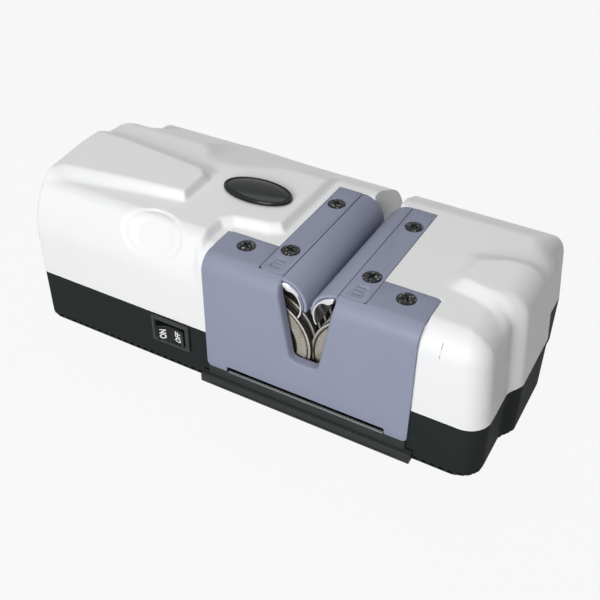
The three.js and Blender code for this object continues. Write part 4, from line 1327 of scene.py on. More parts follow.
@dataclass
class BaseForm(Form):
    """The charcoal base's outer skin."""

    spacing: float = 1.25
    lower_left_radius: float = 5.0

    def field(self, x: Array, y: Array, z: Array) -> Array:
        """Distance from the base's skin, negative inside."""
        walls = self.walls(x, y)
        return np.maximum(self.upright(*walls), round_join(walls[2], UNDERSIDE - z, self.lower_left_radius))


@dataclass
class RoomForm(BaseForm):
    """The room in the base: the walls' form set in, above the floor."""

    spacing: float = 2.6

    def field(self, x: Array, y: Array, z: Array) -> Array:
        """Distance from the room's skin, negative inside."""
        return np.maximum(super().field(x, y, 0 * z + SEAM) + WALL, FLOOR_TOP - z)


# Pieces

def four_corners(kind: str, half: float, front: float, back: float) -> dict[str, Point]:
    """Names and places of four like pieces at the body's corners."""
    return {f"{kind}_{row}_{side.word}": (side.value * half, y)
            for row, y in (("front", front), ("back", back)) for side in Side}


BASE_SCREWS = four_corners("base_screw", 107.5, -43.0, 47.0)
FEET = four_corners("foot", 103.0, -35.0, 39.0)
TOP_SCREWS = {name: (SLOT + x, FRONT + y) for name, x, y in (
    ("plate_screw_left", -39.0, 15.8), ("plate_screw_right", 39.0, 15.8),
    ("strip_screw_left_front", -20.1, 22.5), ("strip_screw_left_back", -20.1, 67.2),
    ("strip_screw_right_front", 20.1, 22.5), ("strip_screw_right_back", 20.1, 67.2))}


def screw_rooms(kind: str, top: float) -> list[bpy.types.Object]:
    """The countersunk holes of some top screws.

    Args:
        kind: How the screws' names start.
        top: The height of the holes' upper edge.

    Returns:
        The cutters.
    """
    profile = [(0, -26), (BORE, -26), (BORE, -2.4), (4.5, 0), (4.5, 20), (0, 20)]
    places = [place for name, place in TOP_SCREWS.items() if name.startswith(kind)]
    return [turned(profile, Axis.Z, (*place, top), 32) for place in places]


@dataclass
class Maker:
    """A sub-assembly that builds its pieces and dresses them."""

    coats: dict[str, Coat]

    def mount(self, piece: bpy.types.Object, body: str, coat: str, nodes: Sequence[str] = ()) -> None:
        """Finishes a piece: its material, body and the nodes that it stands for.

        Args:
            piece: The piece.
            body: The body that it moves with.
            coat: Its finish.
            nodes: The nodes that it replaces.
        """
        piece.data.materials.clear()
        piece.data.materials.append(self.coats[coat].material)
        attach(piece, body)
        if nodes:
            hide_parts(*nodes)
        LOG.info("%s: %d faces on %s", piece.name, len(piece.data.polygons), body)

    def build(self) -> None:
        """Builds and dresses the pieces."""
        raise NotImplementedError


@dataclass
class Cover(Maker):
    """The white upper housing: outer skin, hollow, sheet recesses, mouth and back notch."""

    form: HousingForm = field(default_factory=HousingForm)
    plate_half: float = 52.3
    plate_end: float = FRONT + 22.8
    strips_half: float = 25.9
    slot_half: float = 12.2
    slot_floor: float = 52.0
    slot_end: float = FRONT + 82.5
    recess: float = 74.5
    mouth_margin: float = 2.4
    mouth_chamfer: float = 2.5
    notch_foot: float = 45.0
    notch_halves: tuple[float, float, float] = (2.2, 7.0, 8.0)
    notch_top: float = 90.0
    boss: float = 3.6
    boss_foot: float = 66.4
    line: Point = (95.1, 95.5)

    def posts(self) -> list[bpy.types.Object]:
        """Screw posts, the notch's walls and the slot's end wall, shaped by the sloped roof above them.

        Returns:
            The pieces to join with the skin.
        """
        under = HollowForm(spacing=1.6, inset=WALL / 2, roof=74.2)
        posts = []
        for x, y in BASE_SCREWS.values():
            core = under.draw("core", (x - 8, y - 8, 27), (x + 8, y + 8, 82))
            posts.append(carve(rod(POST, 0, 50, Axis.Z, (x, y, SEAM)), [core], "INTERSECT"))
        trough = prism([(SLOT - 4.2, 43), (SLOT + 4.2, 43), (SLOT + 9.3, 80), (SLOT - 9.3, 80)], Axis.Y,
                       self.slot_end, 60)
        core = under.draw("core", (SLOT - 14, 24, 38), (SLOT + 14, 61, 82))
        posts.append(carve(trough, [core], "INTERSECT"))
        posts.append(slot_slab(14.5, self.slot_end, FRONT + 85, 57, 73.5))
        bosses = [rod(self.boss, 0, 7.6, Axis.Z, (*place, self.boss_foot)) for place in TOP_SCREWS.values()]
        return posts + bosses

    def mouth(self) -> list[Point]:
        """The mouth's outline in the front wall, wider than the plate's by a margin.

        Returns:
            Its corners.
        """
        foot, top = MOUTH_FOOT - self.mouth_margin, 110.0
        half, cut = MOUTH_HALF + self.mouth_margin, self.mouth_chamfer
        wide = half + MOUTH_SLANT * (top - foot)
        return [(SLOT - half + cut, foot), (SLOT + half - cut, foot), (SLOT + half, foot + cut),
                (SLOT + wide, top), (SLOT - wide, top), (SLOT - half, foot + cut)]

    def cuts(self) -> list[bpy.types.Object]:
        """Recesses, slot, mouth, notch, the fine line at the right end, and bores.

        Returns:
            The cutters.
        """
        foot, rim, top = self.notch_halves
        notch = [(SLOT - foot, self.notch_foot), (SLOT + foot, self.notch_foot), (SLOT + rim, PLANE),
                 (SLOT + top, self.notch_top), (SLOT - top, self.notch_top), (SLOT - rim, PLANE)]
        cuts = [
            layer(0, SEAM + GAP),
            slot_slab(self.plate_half, AHEAD, self.plate_end, self.recess, ABOVE),
            slot_slab(self.strips_half, AHEAD, self.slot_end, self.recess, ABOVE),
            slot_slab(self.slot_half, FRONT + 2.6, self.slot_end, self.slot_floor, ABOVE),
            prism(self.mouth(), Axis.Y, AHEAD, FRONT + 5),
            prism(notch, Axis.Y, FRONT + 79.7, 90),
            slab(*self.line, -60, -54.0, 65, 69.5),
            slab(*self.line, -60, -52.0, 69, 73.6),
        ]
        cuts += screw_rooms("", PLANE)
        return cuts + [rod(BORE, 0, 25, Axis.Z, (x, y, 20), 24) for x, y in BASE_SCREWS.values()]

    def build(self) -> None:
        """Builds and dresses the cover."""
        skin = self.form.draw("housing_skin", (-125, -57, 27), (125, 61, 87))
        carve(skin, [HollowForm().draw("hollow", (-125, -58, 20), (125, 62, 84))])
        carve(skin, self.posts(), "UNION")
        carve(skin, self.cuts())
        self.mount(self.form.dress_normals(skin), "housing", "white", ["upper_housing"])


@dataclass
class Base(Maker):
    """The charcoal lower half, with its floor, screw posts, openings and vent notches."""

    form: BaseForm = field(default_factory=BaseForm)
    tray_half: float = 50.3
    tray_top: float = 15.6
    opening_back: float = -50.0
    window_x: Point = (-49.8, -29.2)
    window_z: Point = (16.1, 30.3)
    screw_seat: tuple[Point, ...] = ((0, -5), (3.5, -5), (3.5, 2.4), (BORE, 2.4), (BORE, 50), (0, 50))
    gland_post: float = 10.0
    gland_seat: tuple[Point, ...] = ((0, 40), (5.3, 40), (5.3, 56.1), (7.7, 56.1), (7.7, 70), (0, 70))
    left_vents: tuple[float, float, int] = (-112.0, 4.17, 22)
    right_vents: tuple[float, float, int] = (90.5, 4.1, 6)
    vent_half: float = 1.05
    vent_reach: float = 7.0
    vent_z: Point = (3.2, 4.9)

    def cuts(self) -> list[bpy.types.Object]:
        """Room, tray slot, switch window, gland seat, screw holes and vent notches.

        Returns:
            The cutters.
        """
        gland = (GLAND_X, 0, GLAND_Z)
        room = RoomForm().draw("room", (-125, -58, 3), (125, 62, 40))
        posts = [rod(POST, 3.1, 30.9, Axis.Z, (x, y, 0)) for x, y in BASE_SCREWS.values()]
        cuts = [
            carve(room, [*posts, rod(self.gland_post, 51.5, 58, Axis.Y, gland, 48)]),
            layer(SEAM, 80),
            layer(-20, UNDERSIDE),
            slot_slab(self.tray_half, AHEAD, self.opening_back, FLOOR_TOP, self.tray_top),
            slab(*self.window_x, AHEAD, self.opening_back, *self.window_z),
            turned(self.gland_seat, Axis.Y, gland, 48),
        ]
        cuts += [turned(self.screw_seat, Axis.Z, (x, y, UNDERSIDE), 32) for x, y in BASE_SCREWS.values()]
        vents = [(start + i * pitch, FRONT, 0)
                 for start, pitch, count in (self.left_vents, self.right_vents) for i in range(count)]
        notch = slab(-self.vent_half, self.vent_half, -20, self.vent_reach, *self.vent_z, "vent")
        return [*cuts, Repeat("vent_notches").row(notch, vents)]

    def build(self) -> None:
        """Builds and dresses the base."""
        skin = self.form.draw("base_skin", (-125, -57, 1), (125, 61, 34))
        carve(skin, self.cuts())
        self.mount(self.form.dress_normals(skin), "housing", "charcoal", ["base_shell"])


@dataclass
class BentPlate(Maker):
    """The front plate: one sheet cut flat, with a rolled mouth edge, then bent over the top."""

    bend: float = 8.0
    half: float = 52.0
    face: float = -56.8
    thickness: float = 1.5
    lip: float = 1.5
    flange: float = 0.5
    depth: float = 2.6
    foot: float = 13.3
    tab_front: float = -50.6
    tab_back: float = -32.5

    @property
    def straight(self) -> float:
        """The flat height where the bend starts."""
        return PLANE - self.bend - self.foot

    @property
    def turn(self) -> float:
        """The bend's length on the sheet."""
        return self.bend * math.pi / 2

    def fold(self, s: float) -> Point:
        """Where a height on the flat sheet goes once it is bent.

        Args:
            s: The height.

        Returns:
            The place as (y, z).
        """
        if s <= self.straight:
            return self.face, self.foot + s
        if s <= self.straight + self.turn:
            angle = (s - self.straight) / self.bend
            return (self.face + self.bend * (1 - math.cos(angle)),
                    PLANE - self.bend + self.bend * math.sin(angle))
        return self.face + self.bend + s - self.straight - self.turn, PLANE

    def unfold(self, y: float) -> float:
        """The flat height of a depth on the bend or the top.

        Args:
            y: The depth.

        Returns:
            The height.
        """
        if y >= self.face + self.bend:
            return self.straight + self.turn + y - self.face - self.bend
        return self.straight + self.bend * math.acos(1 - (y - self.face) / self.bend)

    def mouth(self, inset: float) -> list[Point]:
        """The right half of the mouth's edge, from the middle of its foot up.

        Args:
            inset: How far it is set back into the sheet.

        Returns:
            The line on the flat sheet.
        """
        foot = MOUTH_FOOT - inset - self.foot
        radius = 3.0 + inset
        turn_x = MOUTH_HALF + inset * 1.02 - radius * 0.84
        points = [(0.0, foot), (turn_x, foot)]
        points += arc(turn_x, foot + radius, radius, -90, -math.degrees(math.atan(MOUTH_SLANT)), 6)[1:]
        x0, s0 = points[-1]
        for s in np.linspace(s0, self.unfold(self.tab_front), 14)[1:]:
            points.append((x0 + MOUTH_SLANT * (self.fold(s)[1] - self.fold(s0)[1]), s))
        return points

    def outline(self) -> list[Point]:
        """The right half of the sheet's edge, from the mouth's foot round to the lower edge's middle.

        Returns:
            The line on the flat sheet.
        """
        end, back = self.unfold(self.tab_front), self.unfold(self.tab_back)
        points = [*self.mouth(0.0), (25.9, end), (25.9, back)]
        points += arc(self.half - 3, back - 3, 3, 90, 0, 5)
        points += arc(self.half - 2.5, 2.5, 2.5, 0, -90, 5)
        points += arc(42.0, 0.8, 0.8, 270, 180, 3)
        return [*points, (41.2, 2.4), (40.6, 3.0), (0.0, 3.0)]

    @staticmethod
    def split(points: Sequence[Point], rows: Sequence[float]) -> list[Point]:
        """Adds a point to an open line wherever it crosses a row.

        Args:
            points: The line.
            rows: The rows' heights.

        Returns:
            The line with the added points.
        """
        out = [points[0]]
        for (ax, ay), (bx, by) in zip(points, points[1:]):
            shares = sorted((s - ay) / (by - ay) for s in rows if (ay - s) * (by - s) < -1e-4)
            out += [(ax + (bx - ax) * k, ay + (by - ay) * k) for k in shares]
            out.append((bx, by))
        return out

    @staticmethod
    def both(half: list[Point]) -> list[Point]:
        """A line over both halves, from its right half that starts in the middle."""
        return [(-x, s) for x, s in half[:0:-1]] + half

    def flat(self) -> tuple[list[Vector], list[list[int]]]:
        """The flat sheet, divided so that it can roll and bend.

        Returns:
            Its points and faces.
        """
        bends = [self.straight + self.bend * math.radians(a) for a in np.arange(0, 90.1, 6)]
        right = self.split(self.outline(), bends)
        loop = right + [(-x, s) for x, s in right[::-1] if x > 1e-6]
        points = [Vector(p) for p in loop]
        edges = []
        for inset in (0.17, 0.33, self.flange, 0.7, 1.0, 1.4, self.flange + self.lip):
            row = self.both(self.mouth(inset))
            start = len(points)
            points += [Vector(p) for p in row]
            edges += [(start + i, start + i + 1) for i in range(len(row) - 1)]
        rows = [*bends, *np.arange(4.5, self.straight - 2, 6.0),
                *np.arange(bends[-1] + 3, self.unfold(-34), 4.0)]
        for s in rows:
            for x in np.arange(-50, 50.1, 5.0):
                if outline_distance(np.array(x), np.array(s), loop) < -3.2:
                    points.append(Vector((x, s)))
        out, _, faces, *_ = delaunay_2d_cdt(points, edges, [list(range(len(loop)))], 1, 1e-4)
        return out, faces

    def inward(self, near: float) -> float:
        """How deep the rolled edge lies.

        Args:
            near: The distance from the mouth's edge.

        Returns:
            The depth behind the plate's face.
        """
        if near < self.flange:
            return self.lip + self.depth * (1 - near / self.flange)
        rest = self.flange + self.lip - near
        return self.lip - math.sqrt(self.lip ** 2 - rest ** 2) if rest > 0 else 0.0

    @staticmethod
    def gap_to(p: Vector, a: Point, b: Point) -> float:
        """Distance from a point to a line.

        Args:
            p: The point.
            a: The line's start.
            b: Its end.

        Returns:
            The distance.
        """
        ex, ey = b[0] - a[0], b[1] - a[1]
        t = max(0.0, min(1.0, ((p.x - a[0]) * ex + (p.y - a[1]) * ey) / (ex * ex + ey * ey)))
        return math.hypot(p.x - a[0] - ex * t, p.y - a[1] - ey * t)

    def bent(self, points: Sequence[Vector]) -> Array:
        """Rolls the mouth's edge and bends the sheet.

        Args:
            points: Places on the flat sheet.

        Returns:
            Their places in the frame.
        """
        edge = self.both(self.mouth(0.0))
        places = []
        for p in points:
            y, z = self.fold(p.y)
            near = min(self.gap_to(p, a, b) for a, b in zip(edge, edge[1:]))
            share = 1 - ease(p.y, self.straight + 4, self.straight + 9)
            places.append((SLOT + p.x, y + self.inward(near) * share, z))
        return np.array(places)

    def build(self) -> None:
        """Builds and dresses the plate."""
        points, faces = self.flat()
        plate = make_object("bent_plate", self.bent(points), faces)
        edit(plate.data, point_forwards)
        thicken(plate, self.thickness)
        ease_edges(plate, 0.28, 2, 60)
        carve(plate, screw_rooms("plate_screw", PLANE - 0.15))
        self.mount(smooth(plate, 40), "housing", "paint", ["front_plate"])


@dataclass(frozen=True)
class Roll:
    """A sheet rolled about the slot's length, with angles in degrees from the slot's side."""

    name: str
    outer: float
    thickness: float
    start: float
    end: float
    front: float
    back: float
    swell: float = 0.0


@dataclass
class Guides(Maker):
    """Flat strips, rolled guides and bright leaves on both sides of the slot."""

    centre: float = 13.2
    height: float = 64.1
    strip_y: Point = (FRONT + 4.7, FRONT + 82.2)
    strip_far: float = 25.6
    strip_corner: float = 2.0
    thickness: float = 1.5
    bars: tuple[float, ...] = (8.8, 11.4, 14.0)
    bar_half: float = 0.55
    emboss: float = 0.28
    guide: Roll = Roll("roll_sheet", 12.2, 1.4, 90, -12, FRONT + 2.9, FRONT + 82.2)
    spring: Roll = Roll("bright_leaf", 10.5, 0.8, 84, -32, FRONT + 1.2, FRONT + 79.7, 1.7)

    def strip(self, side: Side) -> bpy.types.Object:
        """A flat strip with three embossed bars and their spine.

        Args:
            side: The slot side that it stands on.

        Returns:
            The strip.
        """
        s = side.value
        front, back = self.strip_y
        radius = self.strip_corner
        bend = arc(self.strip_far - radius, front + radius, radius, -90, 0, 5)
        corner = [(SLOT + s * x, y) for x, y in bend]
        inner = SLOT + s * SLOT_HALF
        piece = prism([(inner, front), *corner, (SLOT + s * self.strip_far, back), (inner, back)], Axis.Z,
                      PLANE - self.thickness, PLANE, f"{side.word}_strip_sheet")
        bars = [(17.6, 22.0, y - self.bar_half, y + self.bar_half) for y in self.bars]
        cutters = []
        for near, far, y0, y1 in [*bars, (21.2, 22.3, 8.25, 14.55)]:
            x0, x1 = sorted((SLOT + s * near, SLOT + s * far))
            cutters.append(slab(x0, x1, FRONT + y0, FRONT + y1, PLANE - self.emboss, PLANE + 1))
        carve(piece, cutters)
        ease_edges(piece, 0.2, 2, 50)
        carve(piece, screw_rooms(f"strip_screw_{side.word}", PLANE - 0.15))
        return smooth(piece, 30)

    def rolled(self, side: Side, roll: Roll) -> bpy.types.Object:
        """A rolled sheet, a little thicker near its upper edge where it swells.

        Args:
            side: The slot side that it stands on.
            roll: Its sizes.

        Returns:
            The rolled sheet.
        """
        outline = [(roll.outer, angle) for angle in np.linspace(roll.start, roll.end, 41)]
        for angle in np.linspace(roll.end, roll.start, 41):
            swell = roll.swell * math.exp(-((angle - 68.0) / 15.0) ** 2)
            outline.append((roll.outer - roll.thickness - swell, angle))
        places = [(SLOT + side.value * (self.centre - r * math.cos(math.radians(a))),
                   self.height + r * math.sin(math.radians(a))) for r, a in outline]
        piece = prism(places, Axis.Y, roll.front, roll.back, f"{side.word}_{roll.name}")
        return smooth(ease_edges(piece, roll.thickness * 0.28, 2, 50), 40)

    def build(self) -> None:
        """Builds and dresses both sides."""
        for side in Side:
            self.mount(self.strip(side), "housing", "paint", [f"{side.word}_guide_strip"])
            self.mount(self.rolled(side, self.guide), "housing", "paint", [f"{side.word}_blade_guide"])
            self.mount(self.rolled(side, self.spring), "housing", "leaf", [f"{side.word}_guide_spring"])


@dataclass
class Fasteners(Maker):
    """Countersunk cross-head screws on top and pan screws below."""

    top_profile: tuple[Point, ...] = ((0, -9.6), (1.5, -9.6), (1.5, -2.3), (4.05, -0.25), (4.2, 0.0),
                                      (4.1, 0.12), (3.2, 0.42), (1.8, 0.62), (0, 0.7))
    pan_profile: tuple[Point, ...] = ((0, 0.3), (2.2, 0.12), (3.0, 0.5), (3.1, 2.0), (1.5, 2.0), (1.5, 42),
                                      (0, 42))
    turn: float = 1.57

    def top_screw(self) -> bpy.types.Object:
        """A raised countersunk screw with a tapered cross recess, made round the origin.

        Returns:
            The screw.
        """
        screw = turned(self.top_profile, Axis.Z, (0, 0, 0), 40, "top_screw")
        arms = [prism([(-w, -h), (w, -h), (w, h), (-w, h)], Axis.Z, -1.9, 0.9, taper=0.5)
                for w, h in ((2.5, 0.5), (0.5, 2.5))]
        return smooth(carve(screw, arms))

    def pan_screw(self) -> bpy.types.Object:
        """A pan screw with its head down, made round the origin.

        Returns:
            The screw.
        """
        screw = turned(self.pan_profile, Axis.Z, (0, 0, 0), 32, "base_screw")
        arms = [slab(-x, x, -y, y, -1, 1.3) for x, y in ((1.9, 0.4), (0.4, 1.9))]
        return smooth(carve(screw, arms))

    def build(self) -> None:
        """Builds and dresses the screws."""
        for name, seed, screw, places, height in (
                ("top_screws", 11, self.top_screw(), TOP_SCREWS, PLANE),
                ("base_screws", 5, self.pan_screw(), BASE_SCREWS, UNDERSIDE)):
            points = [(x, y, height) for x, y in places.values()]
            row = Repeat(name, seed).row(screw, points, self.coats["screw"], self.turn)
            self.mount(row, "housing", "screw", list(places))


@dataclass
class Badge(Maker):
    """The plain black oval with a lens-like crown and a fine raised rim."""

    centre: Point = (-20.5, -3.6)
    half_depth: float = 10.0
    stretch: float = 1.83
    rim: tuple[Point, ...] = ((0, 0.1), (0.965, 0.1), (0.99, 0.25), (1.0, 0.6), (1.0, 1.1), (0.99, 1.6),
                              (0.975, 1.85), (0.955, 1.9), (0.935, 1.75), (0.925, 1.45), (0.91, 1.3))

    def build(self) -> None:
        """Builds and dresses the badge."""
        crown = [(0.91 * math.cos(t), 1.25 + 1.55 * math.sin(t)) for t in np.linspace(0.12, 1.5708, 14)]
        profile = [(r * self.half_depth, h) for r, h in [*self.rim, *crown]]
        piece = turned(profile, Axis.Z, (*self.centre, PAD_TOP), 128, "badge_dome", (self.stretch, 1.0))
        self.mount(smooth(piece, 40), "housing", "gloss", ["badge"])


@dataclass
class Switch(Maker):
    """Rocker switch: a bezel with a rounded rim, a dished rocker and its printed words."""

    x: float = -39.5
    z: float = 23.2
    axis_y: float = -53.371
    radius: float = 8.5
    tilt: float = 8.0
    span: float = 33.0
    hollow: float = 1.8
    rim: Point = (10.95, 7.8)
    rim_y: Point = (-56.8, -55.1)
    body: Point = (10.0, 6.8)
    body_y: Point = (-56.0, -42.0)
    well: Point = (8.9, 5.9)
    well_back: float = -47.26
    pin_radius: float = 1.1
    pin_room: float = 1.19
    letter: float = 4.3
    letter_weight: float = 0.16
    letter_squeeze: float = 0.86
    lower: float = 1.15
    print_depth: float = 0.03

    def block(self, halves: Point, y0: float, y1: float, name: str = "slab") -> bpy.types.Object:
        """A block centred on the switch, with half its width and half its height given."""
        half, rise = halves
        return slab(self.x - half, self.x + half, y0, y1, self.z - rise, self.z + rise, name)

    def pin(self, radius: float, half: float) -> bpy.types.Object:
        """A pin on the rocker's axis."""
        return rod(radius, -half, half, Axis.Z, (self.x, self.axis_y, self.z), 24)

    def bezel(self) -> bpy.types.Object:
        """The fixed frame and its well.

        Returns:
            The frame.
        """
        rim = ease_edges(self.block(self.rim, *self.rim_y, "bezel_frame"), 0.7, 4, 30)
        carve(rim, [self.block(self.body, *self.body_y)], "UNION")
        carve(rim, [self.block(self.well, AHEAD, self.well_back), self.pin(self.pin_room, 13)])
        return smooth(ease_edges(rim, 0.18, 2, 60))

    def face(self, u: float) -> float:
        """How far the rocker's dished face stands out.

        Args:
            u: The place along it.

        Returns:
            The height from the axis.
        """
        edge = self.radius * math.cos(math.radians(self.span))
        crest = self.radius * math.sin(math.radians(self.span))
        return crest - self.hollow * (1 - (u / edge) ** 2)

    def tilted(self, u: float, v: float) -> Point:
        """A place on the rocker at rest.

        Args:
            u: Along the rocker.
            v: Outwards from its axis.

        Returns:
            The place as (x, y).
        """
        sine, cosine = math.sin(math.radians(self.tilt)), math.cos(math.radians(self.tilt))
        return self.x + u * cosine + v * sine, self.axis_y - (v * cosine - u * sine)

    def rocker(self) -> bpy.types.Object:
        """The dished key with its pivots.

        Returns:
            The key.
        """
        edge = self.radius * math.cos(math.radians(self.span))
        outline = arc(0, 0, self.radius, -12, self.span, 8)
        outline += [(u, self.face(u)) for u in np.linspace(edge, -edge, 22)[1:-1]]
        outline += arc(0, 0, self.radius, 180 - self.span, 192, 8)
        outline += [(-self.radius / 3, -3.2), (self.radius / 3, -3.2)]
        places = [self.tilted(u, v) for u, v in outline]
        key = prism(places, Axis.Z, self.z - 5.5, self.z + 3.7, "rocker_key")
        ease_edges(key, 0.35, 3, 40)
        return smooth(carve(key, [self.pin(self.pin_radius, 6.7)], "UNION"))

    def word(self, text: str, centre: float) -> bpy.types.Object:
        """A printed word that reads upwards, laid on the dished face.

        Args:
            text: The word.
            centre: Its place along the rocker.

        Returns:
            The print.
        """
        name = f"word_{text.lower()}"
        curve = bpy.data.curves.new(name, "FONT")
        curve.body = text
        curve.size = self.letter
        curve.align_x = "CENTER"
        curve.align_y = "CENTER"
        curve.resolution_u = 4
        curve.offset = self.letter_weight
        letters = add_object("letters", curve)
        mesh = evaluated_mesh(letters)
        drop(letters)

        def lay(bm: bmesh.types.BMesh) -> None:
            """Divides the letters, lays them on the face and turns them to the front.

            Args:
                bm: The opened mesh of the letters.
            """
            bmesh.ops.triangulate(bm, faces=bm.faces)
            bmesh.ops.subdivide_edges(bm, edges=[e for e in bm.edges if e.calc_length() > 0.7], cuts=2)
            bmesh.ops.triangulate(bm, faces=bm.faces)
            for v in bm.verts:
                u, up = centre - v.co.y, v.co.x * self.letter_squeeze
                x, y = self.tilted(u, self.face(u) + 0.035)
                v.co = Vector((x, y, self.z + up - self.lower)) * MM
            point_forwards(bm)

        edit(mesh, lay)
        return thicken(add_object(name, mesh), self.print_depth)

    def build(self) -> None:
        """Builds and dresses the switch."""
        self.mount(self.bezel(), "housing", "satin", ["switch_bezel"])
        self.mount(self.rocker(), "rocker", "gloss", ["power_rocker"])
        self.mount(self.word("ON", -4.0), "rocker", "ink")
        self.mount(self.word("OFF", 3.9), "rocker", "ink")


@dataclass
class Tray(Maker):
    """The filings tray: pan, front panel with a pale strip painted as the highlight along its top edge, and
    pull lip.
    """

    half: float = 55.0
    height: float = 10.0
    panel_y: Point = (-56.5, -55.3)
    pan_half: float = 50.0
    pan_y: Point = (-55.9, -9.0)
    pan_z: Point = (5.6, 12.0)
    pan_wall: float = 1.6
    end_half: float = 2.6
    lip: tuple[Point, ...] = ((-59.0, 3.0), (-55.9, 3.0), (-55.9, 8.0), (-58.2, 8.0), (-58.8, 7.6),
                              (-59.0, 7.0))

    @staticmethod
    def join_flat(bm: bmesh.types.BMesh) -> None:
        """Joins triangles that lie in one plane."""
        bmesh.ops.remove_doubles(bm, verts=bm.verts, dist=1e-6)
        bmesh.ops.dissolve_limit(bm, angle_limit=math.radians(0.6), verts=bm.verts, edges=bm.edges)

    def body(self) -> bpy.types.Object:
        """Front panel, lip and pan in one.

        Returns:
            The tray.
        """
        tray = slot_slab(self.half, *self.panel_y, UNDERSIDE, UNDERSIDE + self.height, "tray_body")
        lip = prism(self.lip, Axis.X, SLOT - self.half, SLOT + self.half)
        carve(tray, [lip, slot_slab(self.pan_half, *self.pan_y, *self.pan_z)], "UNION")
        carve(tray, [slot_slab(self.pan_half - self.pan_wall, -53.4, self.pan_y[1] - self.pan_wall,
                               self.pan_z[0] + self.pan_wall, 30)])
        grip = slot_slab(self.half - 6, -59.6, -58.55, 4.1, 4.9)
        ends = [slab(x - self.end_half, x + self.end_half, -60, -50, UNDERSIDE + 5.3, 20)
                for x in (SLOT - self.half + 1, SLOT + self.half - 1)]
        carve(tray, [grip, *ends])
        edit(tray.data, self.join_flat)
        return smooth(ease_edges(tray, 0.22, 2, 40))

    def build(self) -> None:
        """Builds and dresses the tray."""
        self.mount(self.body(), "tray", "tray", ["filings_tray"])
        top = UNDERSIDE + self.height
        # A pale strip along the panel's top edge: a painted highlight.
        edge = slot_slab(40.6, -56.62, -55.25, top - 0.28, top + 0.06, "tray_edge")
        self.mount(smooth(ease_edges(edge, 0.1, 2, 40)), "tray", "rubbed")


@dataclass
class Discs(Maker):
    """Two interleaved stacks of abrasive discs."""

    count: int = 5
    pitch: float = 5.6
    thickness: float = 2.2
    hub: float = 9.0

    def disc(self) -> bpy.types.Object:
        """One grooved disc on its hub, made round the Y axis at the origin.

        Returns:
            The disc.
        """
        face = [(4.3, 0.0), (9.0, 0.0), (9.0, 0.6), (16.9, 0.6), (17.2, 0.05), (17.4, 0.0), (21.8, 0.0),
                (22.0, 0.32), (22.7, 0.32), (22.9, 0.0), (23.6, 0.0), (23.9, 0.12), (24.0, 0.4)]
        back = [(r, self.thickness - h) for r, h in face[::-1] if r > self.hub]
        profile = [*face, *back, (self.hub, 1.6), (self.hub, 5.3), (4.3, 5.3)]
        return smooth(turned(profile, Axis.Y, (0, 0, 0), 96, "disc"), 30)

    def build(self) -> None:
        """Builds and dresses both stacks."""
        for side in Side:
            start = FRONT + 4 + (self.pitch / 2 if side is Side.RIGHT else 0.0)
            x = SLOT + side.value * ARBOR_REACH
            places = [(x, start + i * self.pitch, ARBOR_HEIGHT) for i in range(self.count)]
            coat = f"abrasive_{side.word}"
            stack = Repeat(f"{side.word}_disc_stack").row(self.disc(), places, self.coats[coat])
            nodes = [f"{side.word}_disc_{i + 1}" for i in range(self.count)]
            self.mount(stack, f"{side.word}_set", coat, nodes)


@dataclass
class Underside(Maker):
    """Rubber feet and the ribbed cable gland."""

    foot: tuple[Point, ...] = ((0, 0.35), (3.2, 0.35), (3.6, 0.0), (6.1, 0.0), (6.6, 0.3), (7.0, 1.5),
                               (7.0, 2.9), (0, 2.9))
    ring: tuple[Point, ...] = ((3.4, -12), (5.0, -12), (5.0, -2.6), (7.4, -2.6), (7.4, -0.5), (7.0, 0.0),
                               (5.6, 0.0), (5.4, -0.4), (4.7, -0.4), (4.5, 0.0), (3.7, 0.0), (3.4, -0.4))

    def build(self) -> None:
        """Builds and dresses them."""
        for name, (x, y) in FEET.items():
            foot = turned(self.foot, Axis.Z, (x, y, 0), 64, f"{name}_pad")
            self.mount(smooth(foot), "housing", "rubber", [name])
        gland = turned(self.ring, Axis.Y, (GLAND_X, BACK, GLAND_Z), 64, "gland_ring")
        self.mount(smooth(gland, 30), "housing", "rubber", ["cord_gland"])


INNER_PIECES = {
    "steel": ("left_arbor", "right_arbor", "front_bearing_plate", "rear_bearing_plate", "motor_stator",
              "motor_rotor", "motor_front_bracket", "motor_rear_bracket"),
    "nylon": ("left_gear", "right_gear", "left_idler_gear", "right_idler_gear", "driven_pulley",
              "motor_pulley", "cooling_fan", "terminal_block"),
    "bronze": ("left_front_bushing", "left_rear_bushing", "right_front_bushing", "right_rear_bushing"),
    "copper": ("motor_winding",),
    "rubber": ("drive_belt",),
}


@dataclass
class Works:
    """Inner pieces that keep their solid's shape and take a finish."""

    coats: dict[str, Coat]
    nodes: dict[str, bpy.types.Object]

    def build(self) -> None:
        """Dresses the inner nodes."""
        for coat, names in INNER_PIECES.items():
            for name in names:
                self.nodes[name].data.materials.clear()
                self.nodes[name].data.materials.append(self.coats[coat].material)
                LOG.info("%s: %s", name, coat)


@dataclass(frozen=True)
class Lamp:
    """A soft square lamp that faces a target, in metres and watts."""

    name: str
    place: Place
    target: Place
    size: float
    power: float

    def hang(self) -> None:
        """Puts the lamp in the scene."""
        data = bpy.data.lights.new(self.name, "AREA")
        data.size = self.size
        data.energy = self.power
        lamp = add_object(self.name, data)
        lamp.location = self.place
        lamp.rotation_euler = (Vector(self.target) - Vector(self.place)).to_track_quat("-Z", "Y").to_euler()


